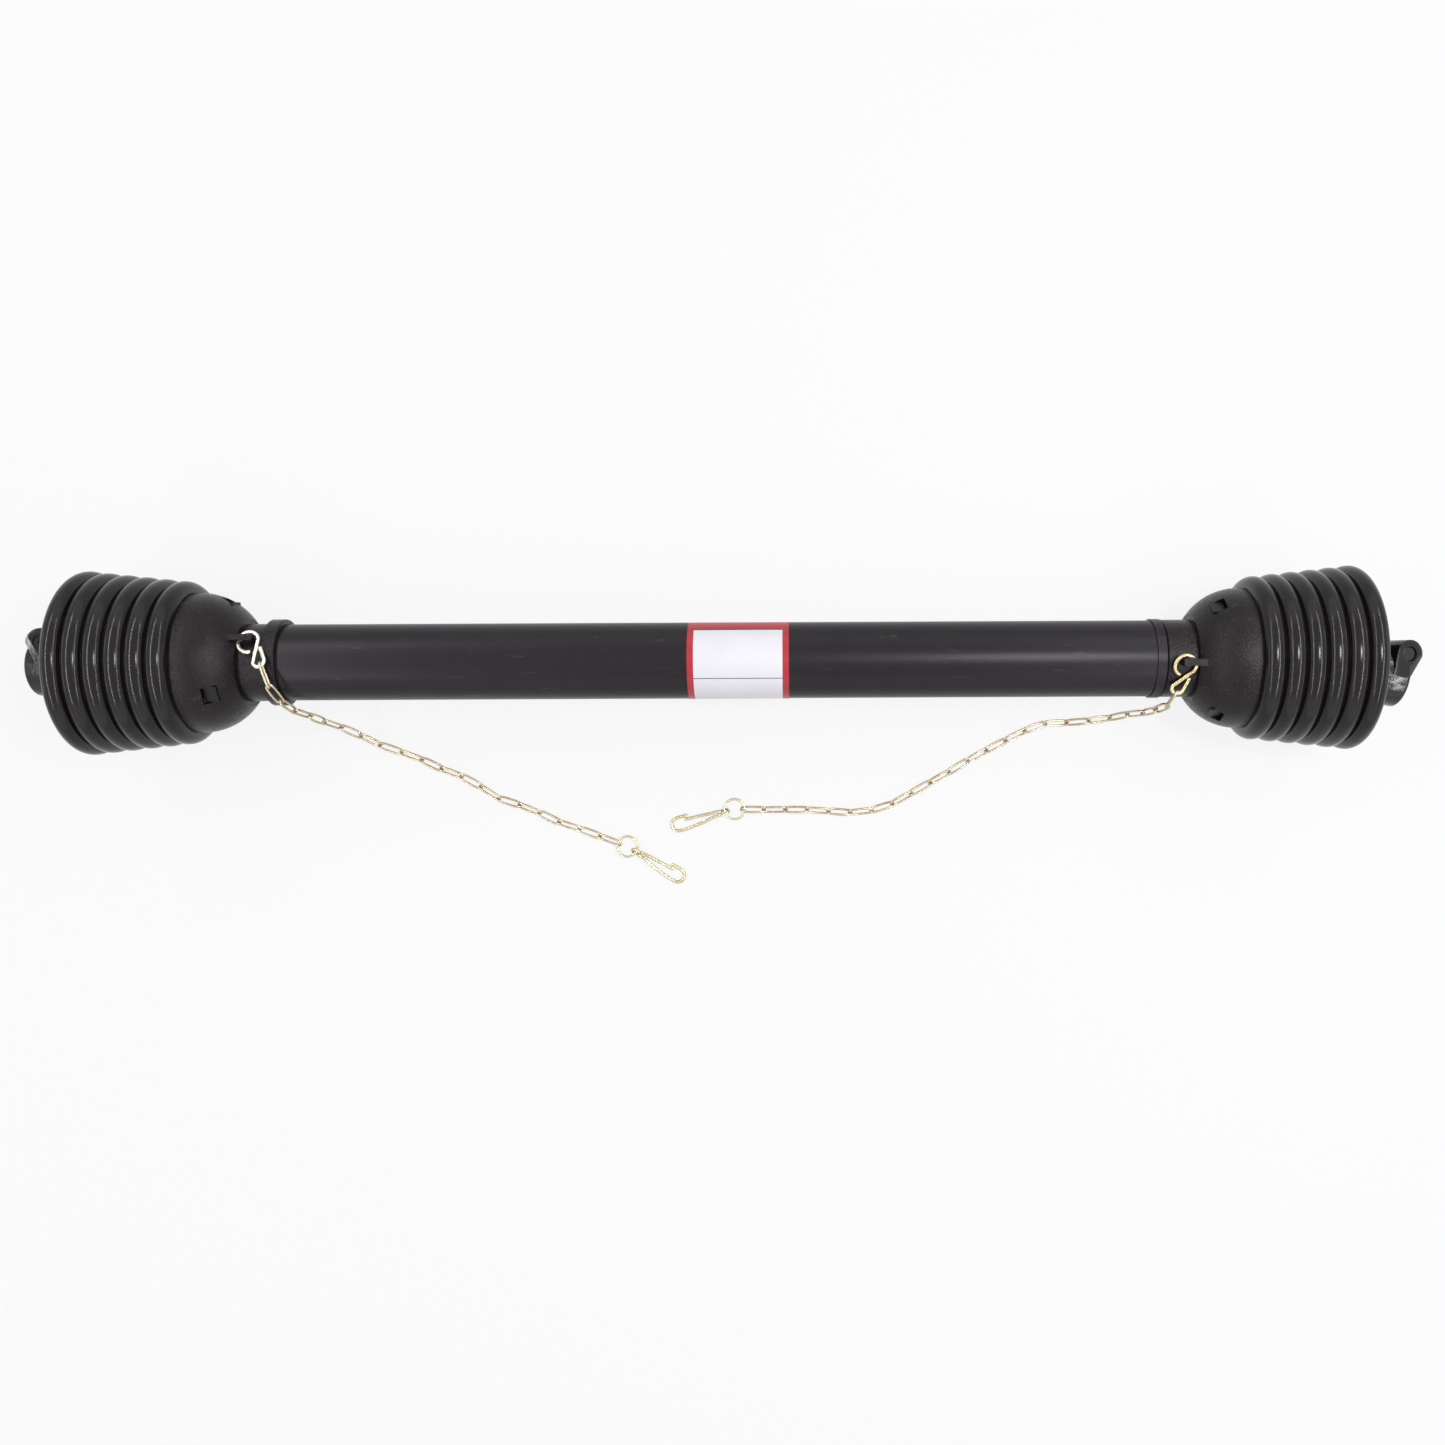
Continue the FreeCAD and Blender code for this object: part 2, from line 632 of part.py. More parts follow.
def cup_seats(body):
    """Bore the ears for the cups and turn the circlips' grooves."""
    cut_through(body, "cup_bore", "XY_Plane", [circle_outline("0", "0", "cap_radius")])
    low, high = "cap_span / 2", "cap_span / 2 + circlip_width + seat_clearance"
    near, far = "cap_radius - circlip_depth", "cap_radius + circlip_depth"
    grooves = [
        [(near, f"{sign}({low})"), (far, f"{sign}({low})"), (far, f"{sign}({high})"), (near, f"{sign}({high})")]
        for sign in ("", "-")
    ]
    turn_solid(body, "circlip_groove", grooves, "Groove", "V_Axis")


def bore_hub(body, outline):
    """Cut the bore from the throat out through the hub."""
    sketch = sketched(body, "bore_outline", "YZ_Plane", [outline])
    sketch.AttachmentOffset = shifted(w=value("(throat_start + ear_inside) * 0.8"))
    pocket = feature(body, "Pocket", "bore", sketch)
    pocket.Type = "ThroughAll"
    pocket.Reversed = True


def spline_outline():
    """Six grooves between six teeth."""
    half = "groove_width / 2"
    corners = []
    for number in range(6):
        angle = 60 * number
        reach = f"sqrt(groove_radius^2 - ({half})^2)"
        root = f"sqrt(tooth_radius^2 - ({half})^2)"
        for along, across, arc in (
            (root, f"-{half}", "tooth_radius"),
            (reach, f"-{half}", None),
            (reach, half, "groove_radius"),
            (root, half, None),
        ):
            u = f"({along}) * cos({angle} deg) - ({across}) * sin({angle} deg)"
            v = f"({along}) * sin({angle} deg) + ({across}) * cos({angle} deg)"
            corners.append((u, v, arc) if arc else (u, v))
    return corners


def tube_yoke(side):
    body = new_body(f"{side}_tube_yoke_forging")
    fork(body, "tube_hub_radius")
    hub_start = "throat_start + ear_inside + seat_clearance"
    hub_end = "fork_end + tube_hub_length"
    groove = "(cross_place - window_place - window_length / 2)"
    near, far = f"{groove} - ring_groove_width / 2", f"{groove} + ring_groove_width / 2"
    outline = [
        (hub_start, "0"),
        (hub_start, "fork_half_width"),
        ("fork_end + collar_edge", "tube_hub_radius"),
        (near, "tube_hub_radius"),
        (near, "ring_groove_radius"),
        (far, "ring_groove_radius"),
        (far, "tube_hub_radius"),
        (f"{hub_end} - collar_edge", "tube_hub_radius"),
        (hub_end, "tube_hub_radius - collar_edge"),
        (hub_end, "0"),
    ]
    trim_ears(body)
    turn_solid(body, "hub", [outline])
    cup_seats(body)
    lobe = "lobe_radius"
    if side == "right":
        lobe = "lobe_radius - outer_profile_wall - running_clearance"
    bore_hub(body, lobed_outline(f"{lobe} + seat_clearance"))
    place = shifted(u=value("cross_place"), axis=Z_AXIS, turn=180)
    bored = cut(f"{side}_tube_yoke", placed(body, place), pin_drill(f"{side}_yoke_pin_hole", side))
    node(f"{side}_tube_yoke", bored, ENDS[side])
    pin_place = shifted(value("spring_pin_place"), -value("tube_hub_radius"), 0, X_AXIS, -90)
    outside = solid("Cylinder", f"{side}_spring_pin_outside", pin_place, Radius="spring_pin_radius",
                    Height="2 * tube_hub_radius")
    inside = solid("Cylinder", f"{side}_spring_pin_inside", pin_place, Radius="spring_pin_bore",
                   Height="2 * tube_hub_radius")
    node(f"{side}_spring_pin", cut(f"{side}_spring_pin", outside, inside), ENDS[side])


def boss_sketch(body, name, outline, height=0.0):
    """Draw an outline round the lock pin's axis, on a plane across it."""
    sketch = sketched(body, name, "XZ_Plane", [outline])
    slant = shifted(value("boss_place"), value("boss_offset"), 0, Y_AXIS, value("boss_slant"))
    sketch.AttachmentOffset = slant * shifted(w=height)
    return sketch


def boss_cut(body, name, radius, offset, length, outwards):
    """Cut a round hole in the lock pin's boss from a plane across the boss's axis."""
    sketch = boss_sketch(body, f"{name}_outline", circle_outline("0", "0", radius), offset)
    pocket = feature(body, "Pocket", name, sketch)
    pocket.setExpression("Length", bound(length))
    pocket.Reversed = outwards


def quick_release_yoke(side):
    """The outer yoke: ears, hub with the six-tooth bore, and the lock pin's boss."""
    body = new_body(f"{side}_quick_release_yoke")
    fork(body, "hub_radius")
    trim_ears(body)
    hub_start = "throat_start + ear_inside + seat_clearance"
    outline = [
        (hub_start, "0"),
        (hub_start, "fork_half_width - collar_edge"),
        ("fork_end + collar_edge", "hub_radius"),
        ("yoke_length - hub_rounding", "hub_radius"),
        ("yoke_length", "hub_radius - hub_rounding", "-hub_rounding"),
        ("yoke_length", "0"),
    ]
    turn_solid(body, "hub", [outline])
    boss = [
        ("boss_radius", "0"),
        ("0", "boss_radius", "boss_radius"),
        ("-boss_radius", "0", "boss_radius"),
        ("-boss_radius", "-boss_offset"),
        ("boss_web", "-boss_offset"),
    ]
    pad = feature(body, "Pad", "boss", boss_sketch(body, "boss_outline", boss))
    pad.SideType = "Two sides"
    pad.setExpression("Length", bound("boss_top"))
    pad.setExpression("Length2", bound("boss_bottom"))
    cup_seats(body)
    bore_hub(body, spline_outline())
    boss_cut(body, "pin_bore", "pin_radius + seat_clearance", value("boss_top"), "boss_top + spring_seat", False)
    boss_cut(body, "mouth", "mouth_radius", value("boss_top"), "mouth_depth", False)
    boss_cut(body, "foot", "foot_recess", -value("boss_bottom"), "foot_recess_depth", True)
    boss_cut(body, "drain", "drain_radius", -value("boss_bottom"), "boss_bottom - spring_seat", True)
    return node(f"{side}_quick_release_yoke", body, YOKES[side])


def lock_pin(side):
    """The push pin: a thick part that locks, a waist that lets go, and a head."""
    waist_end = "(pin_lock_length + pin_waist_length)"
    edge = "pin_edge"
    outline = [
        ("0", "0"),
        ("0", f"pin_radius - {edge}"),
        (edge, "pin_radius"),
        (f"pin_lock_length - {edge}", "pin_radius"),
        (f"pin_lock_length + {edge}", "pin_waist_radius"),
        (waist_end, "pin_waist_radius"),
        (waist_end, "pin_head_radius"),
        (f"{waist_end} + pin_head_height - {edge}", "pin_head_radius"),
        (f"{waist_end} + pin_head_height", f"pin_head_radius - {edge}", f"-{edge}"),
        (f"{waist_end} + pin_head_height", "0"),
    ]
    body = new_body(f"{side}_lock_pin")
    turn_solid(body, "profile", [outline])
    foot = PIN_FRAME * shifted(0, value("pin_foot"), 0, Z_AXIS, -90)
    node(f"{side}_lock_pin", body, YOKES[side] * foot)


def spring_shape():
    """A coil spring of six-sided wire between its seat and the pin's foot, standing on the XY plane."""
    wire, radius = value("spring_wire / 2"), value("spring_radius")
    room = value("spring_seat - pin_foot - 2 * spring_gap")
    turns, steps, sides = 4, 16, 6
    rise = (room - 2 * wire) / (turns * steps)
    sections = []
    for step in range(turns * steps + 1):
        angle = 2 * math.pi * step / steps
        outwards = Vector(math.cos(angle), math.sin(angle), 0)
        middle = outwards * radius + Z_AXIS * (wire + rise * step)
        around = [2 * math.pi * side / sides for side in range(sides)]
        sections.append([middle + (outwards * math.cos(turn) + Z_AXIS * math.sin(turn)) * wire for turn in around])
    faces = [flat_face(sections[0]), flat_face(sections[-1])]
    for near, far in zip(sections, sections[1:]):
        for side in range(sides):
            faces.append(flat_face([near[side - 1], near[side], far[side]]))
            faces.append(flat_face([near[side - 1], far[side], far[side - 1]]))
    return whole_solid(faces)


def lock_spring(side):
    seat = PIN_FRAME * shifted(0, value("spring_seat - spring_gap"), 0, X_AXIS, 90)
    node(f"{side}_lock_spring", shaped(f"{side}_lock_spring", spring_shape()), YOKES[side] * seat)


def both_arms(build, name):
    """Build a piece on both sides of the joint's middle, on the ears' axis."""
    pieces = []
    for number, turn in enumerate((0, 180)):
        pieces.append(placed(build(f"{name}_{number}"), Placement(Vector(), Rotation(X_AXIS, turn))))
    return group(name, *pieces)


def cup(name):
    low = value("cap_span / 2 - cap_height")
    outside = solid("Cylinder", f"{name}_outside", shifted(w=low), Radius="cap_radius", Height="cap_height")
    inside = solid("Cylinder", f"{name}_inside", shifted(w=low), Radius="arm_radius + running_clearance / 2",
                   Height="cap_height - cap_floor")
    return cut(f"{name}_cup", outside, inside)


def circlip(name):
    place = Placement(Vector(0, 0, value("cap_span / 2")), Rotation(Z_AXIS, 15))
    outside = solid("Cylinder", f"{name}_outside", place, Radius="cap_radius + circlip_depth - seat_clearance",
                    Height="circlip_width", Angle="330")
    inside = solid("Cylinder", f"{name}_inside", place, Radius="cap_radius - circlip_depth",
                   Height="circlip_width")
    return cut(f"{name}_clip", outside, inside)


def seal(name):
    low = value("cap_span / 2 - cap_height - seal_height - seat_clearance")
    outside = solid("Cylinder", f"{name}_outside", shifted(w=low), Radius="seal_radius", Height="seal_height")
    inside = solid("Cylinder", f"{name}_inside", shifted(w=low), Radius="arm_radius + seat_clearance",
                   Height="seal_height")
    return cut(f"{name}_seal", outside, inside)


def cross(side):
    """The journal cross with its seals and grease nipple."""
    reach = value("cap_span / 2 - cap_floor - running_clearance")
    length = "cap_span - 2 * cap_floor - 2 * running_clearance"
    upright = solid("Cylinder", f"{side}_arm_upright", shifted(w=-reach), Radius="arm_radius", Height=length)
    level = solid("Cylinder", f"{side}_arm_level", shifted(v=reach, axis=X_AXIS, turn=90),
                  Radius="arm_radius", Height=length)
    core = solid("Sphere", f"{side}_cross_core", Radius="cross_core")
    slant = Placement(Vector(), Rotation(X_AXIS, 45))
    seat = slant * shifted(w=value("cross_core - collar_edge / 2"))
    pocket = solid("Cylinder", f"{side}_nipple_seat", seat, Radius="nipple_radius + seat_clearance",
                   Height="nipple_height")
    whole = fuse(f"{side}_cross_whole", upright, level, core)
    node(f"{side}_cross", cut(f"{side}_cross", whole, pocket), CROSSES[side])
    outline = [
        ("0", "0"),
        ("0", "nipple_radius"),
        ("nipple_height * 0.4", "nipple_radius"),
        ("nipple_height * 0.55", "nipple_radius * 0.6"),
        ("nipple_height * 0.75", "nipple_radius * 0.6"),
        ("nipple_height * 0.85", "nipple_radius * 0.8"),
        ("nipple_height", "nipple_radius * 0.5"),
        ("nipple_height", "0"),
    ]
    body = new_body(f"{side}_grease_nipple")
    turn_solid(body, "profile", [outline])
    node(f"{side}_grease_nipple", body, CROSSES[side] * seat * shifted(axis=Y_AXIS, turn=-90))
    seals = []
    for number, turn in enumerate((0, 90, 180, 270)):
        ring = seal(f"{side}_seal_{number}")
        seals.append(placed(ring, Placement(Vector(), Rotation(X_AXIS, turn))))
    node(f"{side}_journal_seals", group(f"{side}_journal_seals", *seals), CROSSES[side])


# Chains


LINK_TILT = 45.0
LYING = value("link_rest")
# Where each chain runs: x, then y from the shaft's axis, then height.
LEFT_ROUTE = [
    (-387.0, -25.5, 121.0), (-381.2, -41.0, 98.0), (-372.4, -47.0, 74.0), (-364.4, -53.0, 50.0),
    (-354.6, -58.5, 33.0), (-339.6, -67.1, 18.0), (-325.3, -75.9, 8.0), (-305.3, -83.2, 3.9),
    (-285.7, -90.4, LYING), (-268.3, -99.1, LYING), (-250.8, -105.3, LYING), (-228.0, -118.2, LYING),
    (-207.0, -132.5, LYING), (-191.7, -133.5, LYING), (-171.9, -143.0, LYING), (-156.5, -150.6, LYING),
    (-133.1, -157.9, LYING), (-112.6, -165.7, LYING), (-90.0, -174.5, LYING),
]
RIGHT_ROUTE = [
    (396.2, -44.5, 89.0), (390.1, -47.5, 62.0), (378.8, -49.2, 38.0), (365.3, -52.5, 20.0),
    (352.3, -55.0, 9.0), (327.2, -57.2, 3.8), (305.7, -57.9, LYING),
    (287.1, -64.3, LYING), (267.6, -74.0, LYING), (249.8, -83.3, LYING), (231.0, -93.4, LYING),
    (214.0, -103.8, LYING), (195.2, -114.0, LYING), (177.0, -124.2, LYING), (158.7, -134.4, LYING),
    (138.3, -140.4, LYING), (118.7, -142.0, LYING), (94.9, -140.1, LYING), (75.1, -138.7, LYING),
    (53.2, -138.7, LYING), (31.5, -138.8, LYING), (4.0, -138.0, LYING),
]


def arc_points(centre, radius, start, end, steps):
    """Give points on an arc in the XY plane."""
    turns = [math.radians(start + (end - start) * step / steps) for step in range(steps + 1)]
    return [centre + Vector(math.cos(turn), math.sin(turn), 0) * radius for turn in turns]


def wire_solid(path, radius, closed=False, sides=8):
    """Bend an eight-sided wire along a path in the XY plane, with mitred turns."""
    rings = []
    for index, point in enumerate(path):
        following = path[(index + 1) % len(path)]
        incoming = (point - path[index - 1]).normalize() if index or closed else None
        outgoing = (following - point).normalize() if index < len(path) - 1 or closed else incoming
        incoming = incoming or outgoing
        along = (incoming + outgoing).normalize()
        across = Z_AXIS.cross(along)
        stretch = radius / across.dot(Z_AXIS.cross(incoming))
        turns = [2 * math.pi * (side + 0.5) / sides for side in range(sides)]
        rings.append([point + across * (stretch * math.cos(turn)) + Z_AXIS * (radius * math.sin(turn))
                      for turn in turns])
    pairs = list(zip(rings, rings[1:]))
    faces = []
    if closed:
        pairs.append((rings[-1], rings[0]))
    else:
        faces += [flat_face(rings[0]), flat_face(rings[-1])]
    for near, far in pairs:
        faces += [flat_face([near[side - 1], near[side], far[side], far[side - 1]]) for side in range(sides)]
    return whole_solid(faces)


def flat_face(corners):
    return Part.Face(Part.makePolygon(corners + corners[:1]))


def whole_solid(faces):
    """Close faces to a solid that counts as filled."""
    shell = Part.makeShell(faces)
    shell.sewShape()
    filled = Part.makeSolid(shell)
    if filled.Volume < 0:
        filled.reverse()
    return filled


def facing(origin, along, normal):
    """Give a placement whose X runs along a direction and whose Z is as near a normal as it can be."""
    side = normal.cross(along).normalize()
    return Placement(origin, Rotation(along, side, normal, "XZY"))


def link_shape():
    """One long link, along X in the XY plane."""
    bend = value("link_width / 2 - link_wire")
    straight = value("(link_pitch + link_play) / 2 + link_wire") - bend
    path = arc_points(Vector(straight, 0, 0), bend, -90, 90, 4)
    path += arc_points(Vector(-straight, 0, 0), bend, 90, 270, 4)
    return wire_solid(path, value("link_wire"), closed=True)


def chain_joints(route):
    """Walk a route and give points that lie one pitch from each other."""
    points = [Vector(*point) for point in route]
    pitch = value("link_pitch")
    step = pitch / 200
    joints = [points[0]]
    for start, end in zip(points, points[1:]):
        count = max(1, int((end - start).Length / step))
        for number in range(1, count + 1):
            point = start + (end - start) * (number / count)
            if (point - joints[-1]).Length >= pitch:
                joints.append(joints[-1] + (point - joints[-1]).normalize() * pitch)
    return joints


def hook_frame(side):
    """Give the S-hook's middle and the directions along it and out of its plane."""
    big, small, lean = HOOK_PLACES[side]
    along = (Vector(*small) - Vector(*big)).normalize()
    outwards = Vector(0, -math.sin(math.radians(lean)), math.cos(math.radians(lean)))
    return Vector(*big), along, outwards


def chain(side, route):
    """Lay the links along their route; give the last one's middle and direction."""
    big, towards, outwards = hook_frame(side)
    wire = big + towards * value("hook_span + hook_small_loop")
    pull = (Vector(*route[0]) - wire).normalize()
    start = wire - pull * value("hook_wire + seat_clearance")
    joints = chain_joints([start, *route])
    directions = [(end - start).normalize() for start, end in zip(joints, joints[1:])]
    normals = [Z_AXIS]
    for along in reversed(directions):
        normals.append((normals[-1] - along * normals[-1].dot(along)).normalize())
    normals.reverse()
    across = outwards.cross(towards).normalize()
    first_side = normals[0].cross(directions[0])
    first = 1 if normals[0].dot(across) * first_side.dot(across) < 0 else -1
    template = link_shape()
    hanging, lying = [], []
    for number, along in enumerate(directions):
        start, end = joints[number:number + 2]
        tilt = -first * LINK_TILT if number % 2 else first * LINK_TILT
        middle = (start + end) * 0.5
        place = facing(middle, along, normals[number]) * shifted(axis=X_AXIS, turn=tilt)
        link = template.copy()
        link.Placement = place
        lies = abs(start.z - end.z) < value("link_wire") / 4
        (lying if lies else hanging).append(link)
    for name, links in ((f"{side}_chain_upper", hanging), (f"{side}_chain_lower", lying)):
        node(name, shaped(name, Part.makeCompound(links)), SHAFT_FLOOR)
    touchdown = joints[len(hanging)]
    print(side, "links", len(hanging), len(lying), "touchdown", touchdown + Vector(0, value("axis_offset"), 0))
    return middle, along


def ring_and_hook(side, middle, along, hook_turn):
    """The end ring through the last link, and the snap hook on the ring."""
    along = Vector(along.x, along.y, 0).normalize()
    reach = value("link_pitch / 2 - 2 * ring_wire")
    centre = middle + along * (reach + value("ring_radius"))
    centre.z = value("ring_rest")
    steps = 20
    path = arc_points(Vector(), value("ring_radius"), 0, 360 - 360 / steps, steps - 1)
    ring = wire_solid(path, value("ring_wire"), closed=True)
    node(f"{side}_chain_ring", shaped(f"{side}_chain_ring", ring), SHAFT_FLOOR * Placement(centre, Rotation()))
    outwards = Rotation(Z_AXIS, hook_turn).multVec(along)
    eye = centre + outwards * value("ring_radius")
    eye.z = value("snap_eye * sin(snap_eye_tilt * 1 deg) + snap_eye_wire")
    nose_reach = value("snap_length - snap_eye - snap_eye_wire - snap_width / 2")
    fall = math.atan((eye.z - value("snap_wire + collar_edge / 2")) / (nose_reach + value("snap_width / 2")))
    roll = 180 if side == "right" else 0
    place = facing(eye, outwards, Z_AXIS) * shifted(axis=Y_AXIS, turn=math.degrees(fall))
    place = place * shifted(axis=X_AXIS, turn=roll)
    node(f"{side}_snap_hook", shaped(f"{side}_snap_hook", snap_hook_shape(nose_reach)), SHAFT_FLOOR * place)
    print(side, "ring", centre + Vector(0, value("axis_offset"), 0))


def snap_hook_shape(nose_reach):
    """A one-piece spring hook: eye at the origin, nose along +X, the gate's end inside the catch."""
    wire = value("snap_wire")
    half = value("snap_width / 2 - snap_wire")
    gate_end = nose_reach - half
    neck = value("snap_eye")
    back = [Vector(neck * 0.9, -wire * 1.05, 0), Vector(neck * 2.9, -wire * 1.4, 0),
            Vector(nose_reach * 0.5, -half * 0.72, 0), Vector(gate_end, -half, 0)]
    nose = arc_points(Vector(nose_reach, 0, 0), half, -90, 90, 8)
    catch = [Vector(gate_end, half, 0), Vector(gate_end - wire * 2.5, half, 0)]
    gate = [Vector(neck * 0.9, wire * 1.05, 0), Vector(neck * 2.9, wire * 1.3, 0),
            Vector(gate_end, half - wire * 2.15, 0)]
    eye_steps = 16
    eye = wire_solid(arc_points(Vector(), neck, 0, 360 - 360 / eye_steps, eye_steps - 1),
                     value("snap_eye_wire"), closed=True)
    eye.Placement = shifted(axis=X_AXIS, turn=value("snap_eye_tilt"))
    strands = [wire_solid(back + nose + catch, wire), wire_solid(gate, wire)]
    return eye.fuse(strands).removeSplitter()


def s_hook(side):
    """The S-hook: big loop in the eyelet, small loop for the chain, flat in its own plane."""
    radius, small_radius, span = value("hook_big_loop"), value("hook_small_loop"), value("hook_span")
    path = arc_points(Vector(), radius, 258, -17, 14)
    path += arc_points(Vector(0, -span, 0), small_radius, 173, 363, 8)
    path.append(Vector(small_radius + value("hook_wire"), -span / 2, 0))
    shape = wire_solid(path, value("hook_wire"))
    big, towards, outwards = hook_frame(side)
    place = facing(big, towards, outwards) * shifted(axis=Z_AXIS, turn=90)
    node(f"{side}_s_hook", shaped(f"{side}_s_hook", shape), SHAFT_FLOOR * place)


# Assembly


SHAFT_FLOOR = shifted(v=value("axis_offset"))
CROSSES = {
    "left": ENDS["left"] * shifted(u=value("cross_place"), axis=Z_AXIS, turn=value("left_yaw")),
    "right": ENDS["right"] * shifted(u=value("cross_place"), axis=Z_AXIS, turn=-value("right_yaw")),
}
YOKES = {side: CROSSES[side] * shifted(axis=X_AXIS, turn=roll) for side, roll in (("left", 90), ("right", -90))}
PIN_FRAME = shifted(value("boss_place"), 0, value("boss_offset"), Z_AXIS, value("boss_slant"))
HOOK_PLACES = {
    "left": ((-407.5, 16.2, 117.4), (-394.6, -2.4, 125.2), -8),
    "right": ((406.3, -7.9, 118.6), (402.0, -26.6, 109.6), 26),
}

for side in ENDS:
    guard_cone(side)
    node(f"{side}_bellows", shaped(f"{side}_bellows", bellows_shape()), ENDS[side])
    bearing_ring(side)
    tube_yoke(side)
    cross(side)
    tube_end = ENDS[side] * shifted(u=value("cross_place"))
    for name, place in ((f"{side}_tube_yoke", tube_end), (f"{side}_end_yoke", YOKES[side])):
        node(f"{name}_caps", both_arms(cup, f"{name}_caps"), place)
        node(f"{name}_circlips", both_arms(circlip, f"{name}_circlips"), place)
    quick_release_yoke(side)
    lock_pin(side)
    lock_spring(side)
    s_hook(side)
guard_tubes()
label()
profile_tubes()
ring_and_hook("left", *chain("left", LEFT_ROUTE), hook_turn=-9)
ring_and_hook("right", *chain("right", RIGHT_ROUTE), hook_turn=16)

document.recompute()
for thing in document.Objects:
    if "Invalid" in thing.State or "Error" in thing.State:
        raise RuntimeError(f"{thing.Name} did not build: {thing.State}")
for piece in nodes:
    if piece.Shape.isNull() or not piece.Shape.isValid():
        raise RuntimeError(f"{piece.Label} has no sound shape")
os.makedirs("parts", exist_ok=True)
for piece in nodes:
    piece.Shape.exportStep(f"parts/{piece.Label}.step")
    print(piece.Label, len(piece.Shape.Solids), round(piece.Shape.Volume / 1000, 2), "cm3")
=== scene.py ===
"""PTO drive shaft with its full plastic guard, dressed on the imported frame."""

from __future__ import annotations

import json
import logging
import math
from dataclasses import dataclass, field
from enum import Enum

import bpy
from mathutils import Euler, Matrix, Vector

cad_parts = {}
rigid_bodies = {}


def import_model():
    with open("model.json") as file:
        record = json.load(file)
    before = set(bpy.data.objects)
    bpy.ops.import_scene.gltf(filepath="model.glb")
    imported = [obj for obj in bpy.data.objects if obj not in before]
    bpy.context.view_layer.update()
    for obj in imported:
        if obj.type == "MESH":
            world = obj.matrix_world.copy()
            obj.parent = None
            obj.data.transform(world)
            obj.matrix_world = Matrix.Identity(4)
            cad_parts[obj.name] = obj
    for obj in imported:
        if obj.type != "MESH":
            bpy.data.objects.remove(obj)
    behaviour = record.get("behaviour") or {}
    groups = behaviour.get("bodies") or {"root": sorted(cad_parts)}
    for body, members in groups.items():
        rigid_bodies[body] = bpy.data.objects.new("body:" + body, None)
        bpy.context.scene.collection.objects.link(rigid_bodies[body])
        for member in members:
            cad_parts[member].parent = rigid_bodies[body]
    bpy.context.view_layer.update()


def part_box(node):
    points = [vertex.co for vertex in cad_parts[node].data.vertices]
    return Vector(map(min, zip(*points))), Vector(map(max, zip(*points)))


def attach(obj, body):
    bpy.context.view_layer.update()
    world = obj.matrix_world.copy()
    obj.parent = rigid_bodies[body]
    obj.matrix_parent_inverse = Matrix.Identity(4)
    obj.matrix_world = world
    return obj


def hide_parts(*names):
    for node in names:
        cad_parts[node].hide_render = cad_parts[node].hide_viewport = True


LOG = logging.getLogger("drive_shaft")

Color = tuple[float, float, float]

MM = 0.001
MERGE_STEP = 0.01 * MM
SKIN_STEP = 0.32 * MM
SKIN_PASSES = 24
FLAT_QUAD_DEG = 3
SQUARE_QUAD_DEG = 60
COPLANAR_DEG = 1.0
EDGE_DEG = 50
SMOOTH_DEG = 35

# Places of the colour sockets on Blender's mix node
MIX_FACTOR, MIX_FIRST, MIX_SECOND, MIX_RESULT = 0, 6, 7, 2

POWDER_DUST = (0.20, 0.19, 0.185)
SCUFFED_PAINT = (0.045, 0.043, 0.042)
DULLED_ZINC = (0.30, 0.25, 0.19)
RULE_INK = (0.04, 0.035, 0.045)


class Side(Enum):
    """The two ends of the shaft, as they lie in the picture."""

    LEFT = "left"
    RIGHT = "right"

    @property
    def guard_body(self) -> str:
        """Name the body that the end's guard rides on."""
        return "guard_outer" if self is Side.LEFT else "guard_inner"


# Shader building


class Wire:
    """A shader socket that takes part in sums, as a number does."""

    def __init__(self, kit: NodeKit, socket: bpy.types.NodeSocket) -> None:
        """Hold the socket and the nodes that it belongs to.

        Args:
            kit: The nodes among which new ones are made.
            socket: The output that this value comes from.
        """
        self.kit = kit
        self.socket = socket

    def _maths(self, operation: str, *values: Wire | float, clamp: bool = False) -> Wire:
        """Add one maths node.

        Args:
            operation: The node's operation.
            values: What goes into it, in order.
            clamp: Whether the result stays between 0 and 1.

        Returns:
            The node's result.
        """
        settings = {"operation": operation, "use_clamp": clamp}
        return self.kit.add("ShaderNodeMath", settings, dict(enumerate(values)))

    def __add__(self, other: Wire | float) -> Wire:
        """Add two values."""
        return self._maths("ADD", self, other)

    def __radd__(self, other: float) -> Wire:
        """Add two values."""
        return self._maths("ADD", other, self)

    def __sub__(self, other: Wire | float) -> Wire:
        """Take a value away."""
        return self._maths("SUBTRACT", self, other)

    def __rsub__(self, other: float) -> Wire:
        """Take this value away from a number."""
        return self._maths("SUBTRACT", other, self)

    def __mul__(self, other: Wire | float) -> Wire:
        """Multiply two values."""
        return self._maths("MULTIPLY", self, other)

    def __rmul__(self, other: float) -> Wire:
        """Multiply two values."""
        return self._maths("MULTIPLY", other, self)

    def __lt__(self, other: Wire | float) -> Wire:
        """Give 1 where this value is the smaller one."""
        return self._maths("LESS_THAN", self, other)

    def absolute(self) -> Wire:
        """Drop the sign."""
        return self._maths("ABSOLUTE", self)

    def bearing(self, other: Wire) -> Wire:
        """Give the angle of the point (other, self)."""
        return self._maths("ARCTAN2", self, other)

    def held(self) -> Wire:
        """Keep the value between 0 and 1."""
        return self._maths("ADD", self, 0.0, clamp=True)


